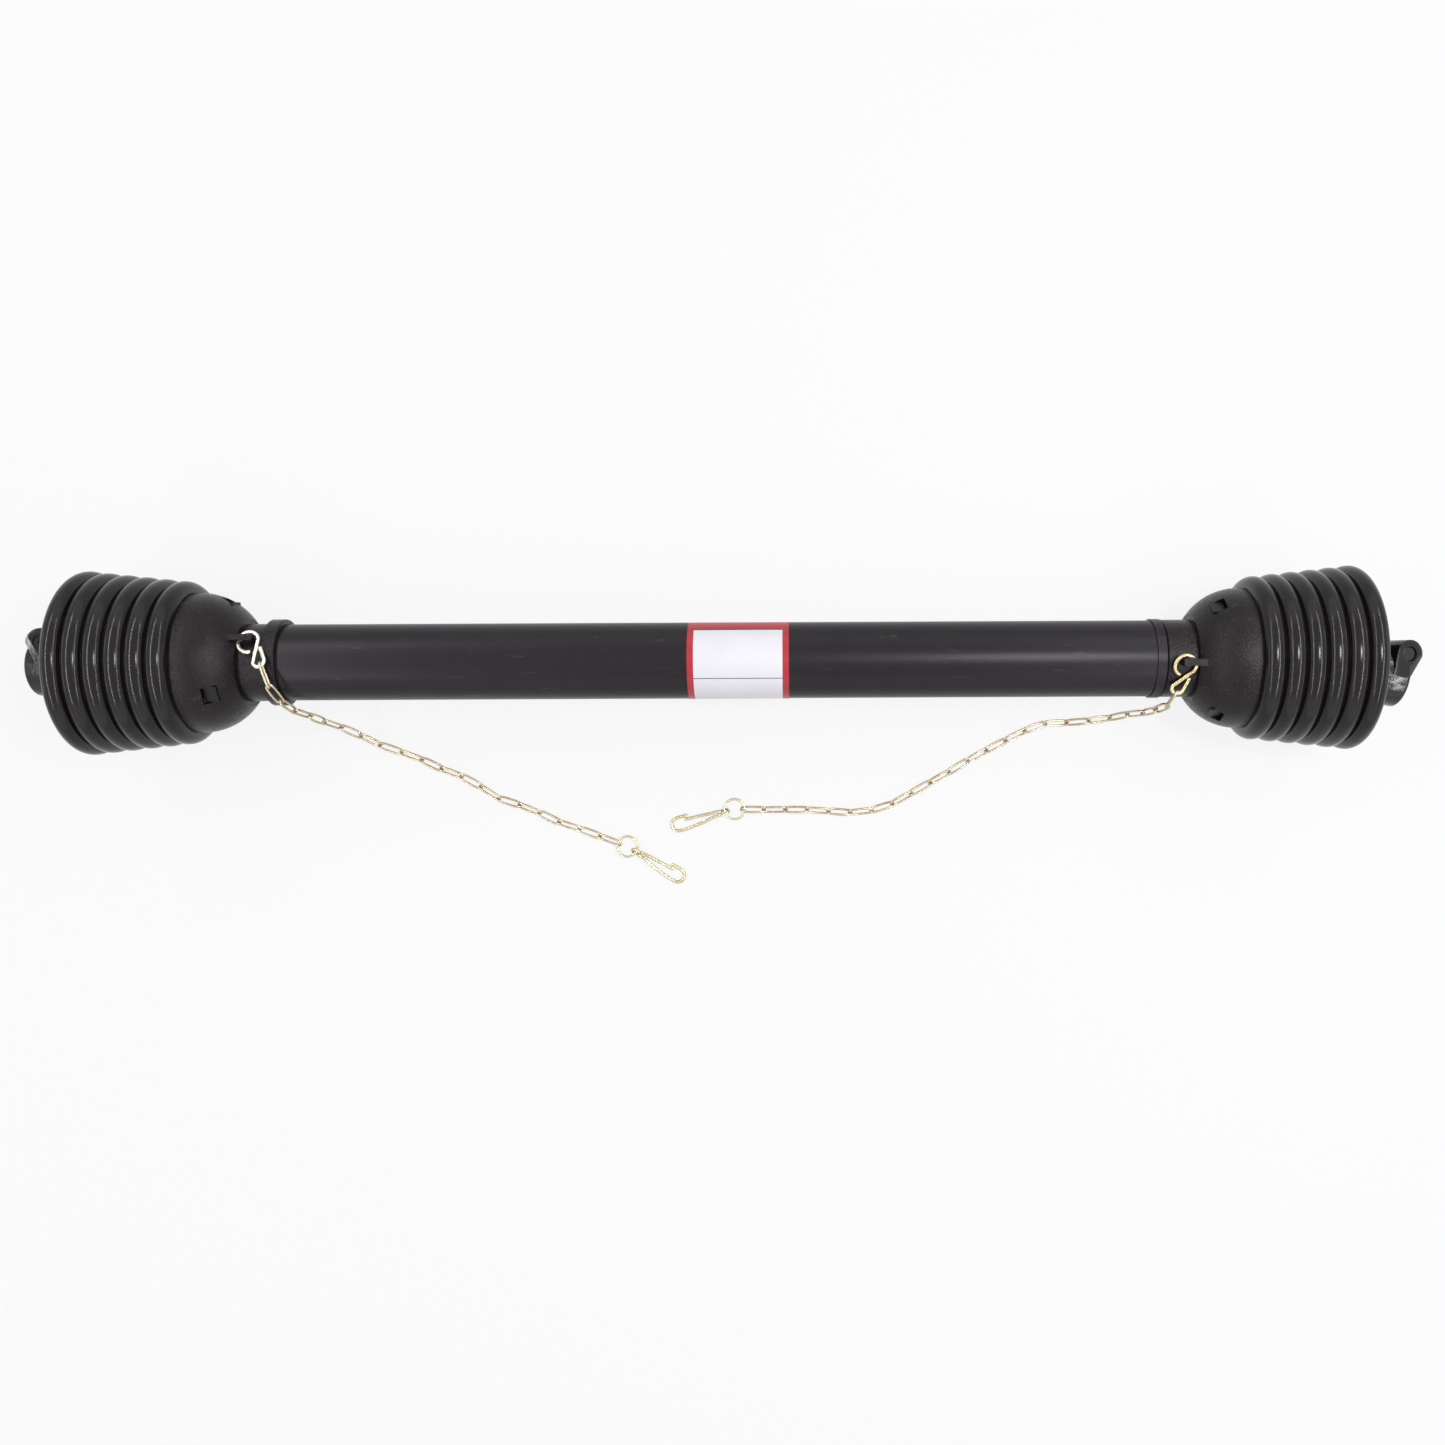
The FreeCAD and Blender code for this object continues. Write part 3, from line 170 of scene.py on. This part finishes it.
class NodeKit:
    """A node tree under construction."""

    def __init__(self, tree: bpy.types.NodeTree) -> None:
        """Take the tree.

        Args:
            tree: The tree that nodes are added to.
        """
        self.tree = tree

    def add(self, kind: str, settings: dict | None = None, values: dict | None = None, output: int | str = 0) -> Wire:
        """Add a node, set it up and connect it.

        Args:
            kind: The node's type.
            settings: Its properties, and "stops" for a ramp's places and colours.
            values: Its inputs, each a number, a vector or another node's output.
            output: The output to give back.

        Returns:
            The chosen output.
        """
        node = self.tree.nodes.new(kind)
        for name, value in (settings or {}).items():
            if name == "stops":
                self.put_stops(node.color_ramp.elements, value)
            else:
                setattr(node, name, value)
        for name, value in (values or {}).items():
            self.feed(node.inputs[name], value)
        return Wire(self, node.outputs[output])

    @staticmethod
    def put_stops(elements: bpy.types.ColorRampElements, stops: list[tuple[float, Color]]) -> None:
        """Put a ramp's stops in place.

        Args:
            elements: The ramp's own stops.
            stops: Each wanted stop's place and colour, at least two.
        """
        while len(elements) < len(stops):
            elements.new(0.5)
        for element, (place, color) in zip(elements, stops):
            element.position = place
            element.color = (*color, 1.0)

    def feed(self, socket: bpy.types.NodeSocket, value: Wire | float | tuple) -> None:
        """Set a socket to a constant, or connect it.

        Args:
            socket: The input.
            value: What it gets.
        """
        if isinstance(value, Wire):
            self.tree.links.new(value.socket, socket)
        else:
            socket.default_value = value

    def shown_as_backdrop(self) -> Wire:
        """Give 1 for rays that see the backdrop: from the camera, off gloss or through glass."""
        camera = self.add("ShaderNodeLightPath", output="Is Camera Ray")
        rays = camera.socket.node.outputs
        return (camera + Wire(self, rays["Is Glossy Ray"]) + Wire(self, rays["Is Transmission Ray"])).held()


class MaterialKit(NodeKit):
    """A material under construction."""

    def __init__(self, name: str) -> None:
        """Start a material with a plain surface shader.

        Args:
            name: The material's name.
        """
        self.material = bpy.data.materials.new(name)
        self.material.use_nodes = True
        super().__init__(self.material.node_tree)
        self.surface = self.tree.nodes["Principled BSDF"]

    def set(self, **values: Wire | float | tuple) -> None:
        """Set inputs of the surface shader, named with _ for each space.

        Args:
            values: The inputs and what they get.
        """
        names = {socket.name.lower().replace(" ", "_"): socket for socket in self.surface.inputs}
        for name, value in values.items():
            self.feed(names[name], value)

    def place(self) -> Wire:
        """Give the object's own coordinates, in metres."""
        return self.add("ShaderNodeTexCoord", output="Object")

    def stretched(self, scale: tuple[float, float, float]) -> Wire:
        """Give the object's coordinates, scaled along each axis.

        Args:
            scale: The three factors.

        Returns:
            The scaled coordinates.
        """
        values = {"Vector": self.place(), "Scale": scale}
        return self.add("ShaderNodeMapping", {"vector_type": "POINT"}, values)

    def along(self, vector: Wire, axis: int) -> Wire:
        """Give one coordinate of a vector.

        Args:
            vector: The vector.
            axis: 0 for X, 1 for Y and 2 for Z.

        Returns:
            That coordinate.
        """
        return self.add("ShaderNodeSeparateXYZ", None, {"Vector": vector}, axis)

    def noise(self, vector: Wire, scale: float, detail: float = 3.0, roughness: float = 0.5) -> Wire:
        """Give soft noise between 0 and 1.

        Args:
            vector: The coordinates.
            scale: How fine the noise is.
            detail: How many finer layers it has.
            roughness: How strong those layers are.

        Returns:
            The noise.
        """
        values = {"Vector": vector, "Scale": scale, "Detail": detail, "Roughness": roughness}
        return self.add("ShaderNodeTexNoise", None, values)

    def ramp(self, factor: Wire, stops: list[tuple[float, Color]]) -> Wire:
        """Run a value through colour stops.

        Args:
            factor: The value.
            stops: Each stop's place and colour.

        Returns:
            The colour.
        """
        return self.add("ShaderNodeValToRGB", {"stops": stops}, {"Fac": factor})

    def blend(self, factor: Wire, first: Wire | Color, second: Wire | Color) -> Wire:
        """Mix two colours.

        Args:
            factor: How much of the second one shows.
            first: The first colour.
            second: The second colour.

        Returns:
            The mixed colour.
        """
        colors = [color if isinstance(color, Wire) else (*color, 1.0) for color in (first, second)]
        values = {MIX_FACTOR: factor, MIX_FIRST: colors[0], MIX_SECOND: colors[1]}
        return self.add("ShaderNodeMix", {"data_type": "RGBA"}, values, MIX_RESULT)

    def relief(self, height: Wire, depth: float, strength: float = 1.0) -> Wire:
        """Turn a height into a bent surface direction.

        Args:
            height: The height, about 0 to 1.
            depth: What 1 is, in metres.
            strength: How much of it shows.

        Returns:
            The surface direction.
        """
        values = {"Height": height, "Distance": depth, "Strength": strength}
        return self.add("ShaderNodeBump", None, values, "Normal")


# Finishes


@dataclass(frozen=True)
class MouldedPlastic:
    """Black plastic or rubber, with a fine texture and a little dust."""

    name: str
    dark: Color
    light: Color
    gloss: float
    grain_scale: float
    grain_depth: float
    dust: float = 0.0
    lines: float = 0.0
    speckle: float = 0.0
    shine: float = 0.2

    def build(self) -> bpy.types.Material:
        """Make the material.

        Returns:
            The finished material.
        """
        kit = MaterialKit(self.name)
        place = kit.place()
        cloud = kit.noise(place, scale=14.0, detail=4.0, roughness=0.6)
        grain = kit.noise(place, scale=self.grain_scale, detail=2.0, roughness=0.55)
        wear = kit.noise(kit.stretched((1.0, 6.0, 6.0)), scale=30.0, detail=5.0, roughness=0.7)
        sand = (grain - 0.5) * self.speckle
        tone = kit.blend((cloud * 1.6 - 0.3 + sand * 4.0).held(), self.dark, self.light)
        powder = ((wear - 0.62) * 5.0).held() * self.dust
        kit.set(
            base_color=kit.blend(powder, tone, POWDER_DUST),
            roughness=(self.gloss + cloud * 0.08 + powder * 0.35 + sand).held(),
            specular_ior_level=self.shine,
        )
        height = grain
        if self.lines:
            streaks = kit.noise(kit.stretched((1.5, 260.0, 260.0)), scale=4.0, detail=3.0, roughness=0.6)
            height = grain * (1.0 - self.lines) + streaks * self.lines
        kit.set(normal=kit.relief(height, self.grain_depth, strength=0.8))
        return kit.material


@dataclass(frozen=True)
class ForgedPaint:
    """Thick gloss black paint on a forging."""

    name: str = "gloss_black_paint"
    color: Color = (0.008, 0.008, 0.009)

    def build(self) -> bpy.types.Material:
        """Make the material.

        Returns:
            The finished material.
        """
        kit = MaterialKit(self.name)
        place = kit.place()
        runs = kit.noise(place, scale=55.0, detail=3.0, roughness=0.5)
        skin = kit.noise(place, scale=420.0, detail=2.0, roughness=0.5)
        chips = ((kit.noise(place, scale=130.0, detail=6.0, roughness=0.75) - 0.70) * 14.0).held()
        kit.set(
            base_color=kit.blend(chips, self.color, SCUFFED_PAINT),
            roughness=(0.13 + runs * 0.12 + chips * 0.3).held(),
            normal=kit.relief(runs * 0.7 + skin * 0.3 - chips * 0.3, 0.5 * MM, strength=0.7),
            specular_ior_level=0.3,
            coat_weight=0.2,
            coat_roughness=0.08,
        )
        return kit.material


@dataclass(frozen=True)
class BareSteel:
    """Ground or drawn steel with fine marks and a film of oil."""

    name: str
    bright: Color
    dull: Color
    gloss: float
    marks: tuple[float, float, float] = (20.0, 900.0, 900.0)

    def build(self) -> bpy.types.Material:
        """Make the material.

        Returns:
            The finished material.
        """
        kit = MaterialKit(self.name)
        stain = kit.noise(kit.place(), scale=40.0, detail=4.0, roughness=0.6)
        marks = kit.noise(kit.stretched(self.marks), scale=1.0, detail=2.0, roughness=0.6)
        kit.set(
            base_color=kit.blend((stain * 1.4 - 0.2).held(), self.bright, self.dull),
            metallic=1.0,
            roughness=(self.gloss + stain * 0.14 + marks * 0.10).held(),
            normal=kit.relief(marks, 0.2 * MM, strength=0.5),
        )
        return kit.material


@dataclass(frozen=True)
class ZincPlate:
    """Bright zinc plating with a yellow passivated film, whose colour drifts along the wire."""

    name: str
    tones: tuple[Color, ...]
    gloss: float = 0.24
    drift: float = 120.0

    def build(self) -> bpy.types.Material:
        """Make the material.

        Returns:
            The finished material.
        """
        kit = MaterialKit(self.name)
        place = kit.place()
        film = kit.noise(place, scale=self.drift, detail=3.0, roughness=0.65)
        speck = kit.noise(place, scale=900.0, detail=3.0, roughness=0.6)
        steps = len(self.tones) - 1
        stops = [(0.30 + 0.40 * number / steps, tone) for number, tone in enumerate(self.tones)]
        dulled = ((speck - 0.58) * 6.0).held()
        kit.set(
            base_color=kit.blend(dulled * 0.35, kit.ramp(film, stops), DULLED_ZINC),
            metallic=0.92,
            roughness=(self.gloss + film * 0.12 + dulled * 0.25).held(),
            normal=kit.relief(speck * 0.6 + film * 0.4, 0.12 * MM, strength=0.6),
        )
        return kit.material


@dataclass(frozen=True)
class LabelFilm:
    """Printed film: one colour, or a white field with thin dark rules across it."""

    name: str
    color: Color
    axis: tuple[float, float]
    rules_deg: tuple[tuple[float, float], ...] = ()
    faded: float = 0.93

    def build(self) -> bpy.types.Material:
        """Make the material.

        Returns:
            The finished material.
        """
        kit = MaterialKit(self.name)
        place = kit.place()
        fade = kit.noise(place, scale=25.0, detail=3.0, roughness=0.6)
        tint = kit.blend((fade * 1.4 - 0.2).held(), self.color, tuple(self.faded * part for part in self.color))
        angle = (kit.along(place, 1) - self.axis[0]).bearing(kit.along(place, 2) - self.axis[1])
        for middle, width in self.rules_deg:
            rule = (angle - math.radians(middle)).absolute() < math.radians(width)
            tint = kit.blend(rule, tint, RULE_INK)
        kit.set(
            base_color=tint,
            roughness=(0.26 + fade * 0.10).held(),
            normal=kit.relief(kit.noise(place, scale=160.0, detail=2.0), 0.15 * MM, strength=0.5),
        )
        return kit.material


# Modelling helpers


def only(thing: bpy.types.Object) -> None:
    """Select this object alone and make it the active one.

    Args:
        thing: The object.
    """
    bpy.ops.object.select_all(action="DESELECT")
    thing.select_set(True)
    bpy.context.view_layer.objects.active = thing


def dress(thing: bpy.types.Object, material: bpy.types.Material) -> None:
    """Give an object one material in all its slots.

    Args:
        thing: The object.
        material: Its finish.
    """
    if not thing.data.materials:
        thing.data.materials.append(material)
    for index in range(len(thing.data.materials)):
        thing.data.materials[index] = material


def applied(thing: bpy.types.Object, kind: str, **settings: object) -> None:
    """Add a modifier and apply it.

    Args:
        thing: The object.
        kind: The modifier's type.
        settings: Its properties.
    """
    modifier = thing.modifiers.new(kind.lower(), kind)
    for name, value in settings.items():
        setattr(modifier, name, value)
    only(thing)
    bpy.ops.object.modifier_apply(modifier=modifier.name)


def mesh_copy(node: str, name: str) -> bpy.types.Object:
    """Copy a CAD node's mesh into a new object, with its doubles merged and its quads restored.

    Args:
        node: The CAD node.
        name: The new object's name.

    Returns:
        The new object, at the origin.
    """
    copy = bpy.data.objects.new(name, bpy.data.objects[node].data.copy())
    bpy.context.scene.collection.objects.link(copy)
    only(copy)
    if copy.data.has_custom_normals:
        bpy.ops.mesh.customdata_custom_splitnormals_clear()
    bpy.ops.object.mode_set(mode="EDIT")
    bpy.ops.mesh.select_all(action="SELECT")
    bpy.ops.mesh.remove_doubles(threshold=MERGE_STEP)
    bpy.ops.mesh.tris_convert_to_quads(
        face_threshold=math.radians(FLAT_QUAD_DEG), shape_threshold=math.radians(SQUARE_QUAD_DEG))
    bpy.ops.mesh.normals_make_consistent(inside=False)
    bpy.ops.object.mode_set(mode="OBJECT")
    return copy


@dataclass(frozen=True)
class Role:
    """What a new piece stands for in the part."""

    node: str
    name: str
    body: str
    slot: str

    def given_to(self, piece: bpy.types.Object, material: bpy.types.Material) -> None:
        """Dress a finished piece and put it in its CAD node's place.

        Args:
            piece: The piece.
            material: Its finish.
        """
        dress(piece, material)
        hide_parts(self.node)
        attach(piece, self.body)
        LOG.info("%s made from %s, %d faces", self.name, self.node, len(piece.data.polygons))


def smooth_wire(role: Role, material: bpy.types.Material, swell: float, levels: int = 0) -> None:
    """Round off a bent wire that the CAD node gives with flats.

    A chain's links are divided one by one; a single wire gets an even skin, which is then relaxed.

    Args:
        role: The piece's node, name, body and slot.
        material: Its finish.
        swell: What the wire's radius gets back, in metres.
        levels: How often it is divided, or 0 for an even skin.
    """
    piece = mesh_copy(role.node, role.name)
    if levels:
        applied(piece, "SUBSURF", levels=levels, render_levels=levels)
    else:
        applied(piece, "REMESH", mode="VOXEL", voxel_size=SKIN_STEP)
        applied(piece, "SMOOTH", factor=0.5, iterations=SKIN_PASSES)
    applied(piece, "DISPLACE", strength=swell, mid_level=0.0)
    bpy.ops.object.shade_smooth()
    role.given_to(piece, material)


def eased_casting(role: Role, material: bpy.types.Material, width: float) -> None:
    """Round the outer edges of a forging, which the CAD node leaves sharp.

    Args:
        role: The piece's node, name, body and slot.
        material: Its finish.
        width: The rounding's width, in metres.
    """
    piece = mesh_copy(role.node, role.name)
    bpy.ops.object.mode_set(mode="EDIT")
    bpy.ops.mesh.select_all(action="SELECT")
    bpy.ops.mesh.dissolve_limited(angle_limit=math.radians(COPLANAR_DEG))
    bpy.ops.object.mode_set(mode="OBJECT")
    applied(piece, "BEVEL", width=width, segments=2, limit_method="ANGLE",
            angle_limit=math.radians(EDGE_DEG), loop_slide=False, use_clamp_overlap=True)
    bpy.ops.object.shade_smooth_by_angle(angle=math.radians(SMOOTH_DEG))
    role.given_to(piece, material)


def shaft_axis() -> tuple[float, float]:
    """Give the shaft's axis, as its place along Y and its height."""
    low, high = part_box("outer_guard_tube")
    return (low.y + high.y) / 2, (low.z + high.z) / 2


# Sub-assemblies


@dataclass
class GuardEnd:
    """One end's cone, bell and bearing ring."""

    side: Side
    cone_finish: MouldedPlastic = field(default_factory=lambda: MouldedPlastic(
        "textured_black_plastic", (0.0065, 0.0043, 0.0060), (0.0120, 0.0085, 0.0112),
        gloss=0.25, grain_scale=700.0, grain_depth=0.6 * MM, dust=0.5, speckle=0.28))
    bell_finish: MouldedPlastic = field(default_factory=lambda: MouldedPlastic(
        "black_bell_rubber", (0.0040, 0.0024, 0.0033), (0.0070, 0.0048, 0.0062),
        gloss=0.12, grain_scale=420.0, grain_depth=0.01 * MM, dust=0.12, speckle=0.03, shine=0.30))
    # The bearing ring is black plastic, and its colour is also darkened as painted shade for the inside of the dome
    # seen through its windows.
    ring_finish_with_painted_shade: MouldedPlastic = field(default_factory=lambda: MouldedPlastic(
        "dark_bearing_plastic", (0.005, 0.005, 0.0055), (0.009, 0.009, 0.0095),
        gloss=0.36, grain_scale=700.0, grain_depth=0.1 * MM))

    def build(self) -> None:
        """Dress the end's plastic pieces."""
        side = self.side.value
        finishes = {"guard_cone": self.cone_finish, "bellows": self.bell_finish, "bearing_ring": self.ring_finish_with_painted_shade}
        for name, finish in finishes.items():
            dress(bpy.data.objects[f"{side}_{name}"], finish.build())
        LOG.info("%s guard end dressed", side)


@dataclass
class JointEnd:
    """One end's universal joint with its yokes, cups and lock pin."""

    side: Side
    edge_rounding: float = 0.9 * MM

    def build(self) -> None:
        """Dress the joint's metal pieces and round the end yoke's edges."""
        side = self.side.value
        paint = ForgedPaint().build()
        ground = BareSteel("ground_steel", (0.62, 0.62, 0.63), (0.42, 0.41, 0.40), gloss=0.18).build()
        clip = BareSteel("spring_steel", (0.20, 0.19, 0.19), (0.10, 0.10, 0.10), gloss=0.30).build()
        button = ForgedPaint("dark_button", (0.02, 0.02, 0.021)).build()
        seal = MouldedPlastic("seal_rubber", (0.015, 0.015, 0.015), (0.03, 0.03, 0.03),
                              gloss=0.45, grain_scale=700.0, grain_depth=0.1 * MM).build()
        nipple = ZincPlate("plated_nipple", ((0.70, 0.60, 0.40), (0.75, 0.68, 0.50))).build()
        finishes = {
            "quick_release_yoke": paint, "tube_yoke": paint, "lock_pin": button, "lock_spring": clip,
            "cross": ground, "tube_yoke_caps": ground, "end_yoke_caps": ground, "tube_yoke_circlips": clip,
            "end_yoke_circlips": clip, "spring_pin": clip, "journal_seals": seal, "grease_nipple": nipple,
        }
        for name, finish in finishes.items():
            dress(bpy.data.objects[f"{side}_{name}"], finish)
        role = Role(f"{side}_quick_release_yoke", f"{side}_end_yoke_forging", f"{side}_yoke", "black_paint")
        eased_casting(role, paint, self.edge_rounding)
        LOG.info("%s joint dressed", side)


@dataclass
class Tubes:
    """The guard tubes, the lobed drive tubes and the sticker."""

    rules_deg: tuple[tuple[float, float], ...] = ((49.5, 1.3), (-29.8, 0.6))

    def build(self) -> None:
        """Dress the tubes and the sticker."""
        axis = shaft_axis()
        skin = MouldedPlastic("extruded_black_plastic", (0.0110, 0.0088, 0.0115), (0.0165, 0.0136, 0.0168),
                              gloss=0.28, grain_scale=900.0, grain_depth=0.12 * MM, dust=0.25, lines=0.5).build()
        oiled = BareSteel("oiled_tube_steel", (0.10, 0.10, 0.105), (0.05, 0.048, 0.045), gloss=0.28).build()
        nodes = bpy.data.objects
        for name in ("outer_guard_tube", "inner_guard_tube"):
            dress(nodes[name], skin)
        for name in ("outer_profile_tube", "inner_profile_tube"):
            dress(nodes[name], oiled)
        dress(nodes["label_frame"], LabelFilm("label_red", (0.41, 0.020, 0.034), axis).build())
        dress(nodes["label_field"], LabelFilm("label_white", (0.76, 0.74, 0.80), axis, self.rules_deg).build())
        LOG.info("tubes and sticker dressed")


@dataclass
class SafetyChain:
    """One end's chain with its S-hook, ring and snap hook."""

    side: Side
    link_finish: ZincPlate = ZincPlate(
        "yellow_zinc_chain", ((0.44, 0.33, 0.22), (0.54, 0.45, 0.32), (0.66, 0.60, 0.47)), gloss=0.22, drift=60.0)
    hook_finish: ZincPlate = ZincPlate(
        "pale_zinc_hook", ((0.52, 0.45, 0.29), (0.68, 0.63, 0.46)), gloss=0.20, drift=40.0)
    # The left S-hook's tones are paler and whiter than the right's: a painted highlight on the left hook. The right
    # hook keeps the plain yellow zinc.
    s_hook_tones_left_highlighted: dict[Side, tuple[Color, ...]] = field(default_factory=lambda: {
        Side.LEFT: ((0.74, 0.70, 0.57), (0.88, 0.86, 0.77)),
        Side.RIGHT: ((0.50, 0.40, 0.20), (0.68, 0.59, 0.38)),
    })

    def build(self) -> None:
        """Model and dress the chain's pieces."""
        side = self.side.value
        links = self.link_finish.build()
        hook = self.hook_finish.build()
        s_hook = ZincPlate(f"{side}_s_hook_zinc", self.s_hook_tones_left_highlighted[self.side], gloss=0.2, drift=40.0).build()
        guard, chain, snap = self.side.guard_body, f"{side}_chain", f"{side}_hook"
        wires = (
            ("s_hook", "s_hook_wire", guard, "hook_zinc", s_hook, 0.22, 0),
            ("chain_upper", "links_hanging", guard, "chain_zinc", links, 0.09, 1),
            ("chain_lower", "links_lying", chain, "chain_zinc", links, 0.09, 1),
            ("chain_ring", "end_ring", chain, "chain_zinc", hook, 0.18, 0),
            ("snap_hook", "spring_hook", snap, "hook_zinc", hook, 0.20, 0),
        )
        for node, name, body, slot, material, swell_mm, levels in wires:
            smooth_wire(Role(f"{side}_{node}", f"{side}_{name}", body, slot), material, swell_mm * MM, levels)


@dataclass(frozen=True)
class Lamp:
    """A rectangular lamp; its place along Y counts from the shaft's axis."""

    name: str
    place: tuple[float, float, float]
    turn_deg: tuple[float, float, float]
    size: tuple[float, float]
    power: float

    def hang(self, axis_y: float) -> None:
        """Put the lamp in the scene.

        Args:
            axis_y: The shaft axis's place along Y.
        """
        lamp = bpy.data.lights.new(self.name, "AREA")
        lamp.shape = "RECTANGLE"
        lamp.size, lamp.size_y = self.size
        lamp.energy = self.power
        holder = bpy.data.objects.new(self.name, lamp)
        holder.location = Vector((0, axis_y, 0)) + Vector(self.place)
        holder.rotation_euler = Euler([math.radians(angle) for angle in self.turn_deg])
        bpy.context.scene.collection.objects.link(holder)


@dataclass
class Studio:
    """Floor, lamps, world and camera."""

    lamps: tuple[Lamp, ...] = (
        Lamp("over_left", (-1.15, 0.10, 1.45), (0, -25, 0), (0.06, 4.0), 24.0),
        Lamp("over_right", (1.15, 0.10, 1.45), (0, 25, 0), (0.06, 4.0), 24.0),
        Lamp("over_right_tube", (0.60, 0.09, 1.60), (0, 12, 0), (0.30, 0.30), 9.0),
        Lamp("far_side", (0.0, 1.90, 1.10), (-60, 0, 0), (3.2, 1.2), 6.0),
        Lamp("near_side", (0.0, -1.90, 0.80), (67, 0, 0), (3.2, 1.0), 4.0),
        Lamp("left_end", (-1.90, 0.0, 0.50), (0, -75, 0), (0.2, 1.2), 1.2),
        Lamp("right_end", (1.90, 0.0, 0.50), (0, 75, 0), (0.2, 1.2), 1.2),
    )

    floor_size: float = 60.0
    floor_color: tuple[float, float, float, float] = (0.70, 0.70, 0.70, 1.0)
    floor_glow: float = 0.84
    white: tuple[float, float, float, float] = (1.0, 1.0, 1.0, 1.0)
    world_light: float = 0.18
    height: float = 1.191
    middle_x: float = 0.0627
    below_axis: float = 0.0558
    lens: float = 33.16
    shift: float = -0.0467
    roll_deg: float = -0.27

    def build(self) -> None:
        """Set up the whole studio."""
        self.add_floor()
        self.add_lamps()
        self.add_world()
        self.add_camera()

    def add_floor(self) -> None:
        """Lay a white floor that keeps the object's soft shadow."""
        bpy.ops.object.select_all(action="DESELECT")
        bpy.ops.mesh.primitive_plane_add(size=self.floor_size, location=(0, 0, 0))
        floor = bpy.context.object
        floor.name = "studio_floor"
        kit = MaterialKit("white_floor")
        kit.set(base_color=self.floor_color, roughness=0.9, specular_ior_level=0.0)
        seen = kit.shown_as_backdrop()
        glow = kit.add("ShaderNodeEmission", None, {"Color": self.white, "Strength": 1.0})
        surface = Wire(kit, kit.surface.outputs[0])
        mixed = kit.add("ShaderNodeMixShader", None, {0: seen * self.floor_glow, 1: surface, 2: glow})
        kit.feed(kit.tree.nodes["Material Output"].inputs["Surface"], mixed)
        dress(floor, kit.material)

    def add_lamps(self) -> None:
        """Hang the lamps.

        Two strips overhead draw the lights on the ribs and one box brightens the right tube; a soft box stands along
        each long side and a weak one at each end.
        """
        axis_y = shaft_axis()[0]
        for lamp in self.lamps:
            lamp.hang(axis_y)

    def add_world(self) -> None:
        """Surround the scene with a white that lights it evenly."""
        world = bpy.data.worlds.new("studio")
        world.use_nodes = True
        kit = NodeKit(world.node_tree)
        sky = kit.tree.nodes["Background"]
        kit.feed(sky.inputs["Color"], self.white)
        kit.feed(sky.inputs["Strength"], kit.shown_as_backdrop() * (1.0 - self.world_light) + self.world_light)
        bpy.context.scene.world = world

    def add_camera(self) -> None:
        """Look straight down from above the shaft."""
        lens = bpy.data.cameras.new("camera")
        lens.lens = self.lens
        lens.sensor_width = 36.0
        lens.sensor_fit = "HORIZONTAL"
        lens.shift_x = self.shift
        lens.clip_end = 50.0
        camera = bpy.data.objects.new("camera", lens)
        axis = Vector((self.middle_x, *shaft_axis()))
        camera.location = axis + Vector((0, -self.below_axis, self.height))
        camera.rotation_euler = Euler((0, 0, math.radians(self.roll_deg)))
        bpy.context.scene.collection.objects.link(camera)
        bpy.context.scene.camera = camera


def main() -> None:
    """Build and dress the whole object."""
    logging.basicConfig(level=logging.INFO, format="%(name)s: %(message)s")
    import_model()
    bpy.context.scene.view_settings.view_transform = "Standard"
    for side in Side:
        GuardEnd(side).build()
        JointEnd(side).build()
        SafetyChain(side).build()
    Tubes().build()
    Studio().build()


if __name__ == "__main__":
    main()
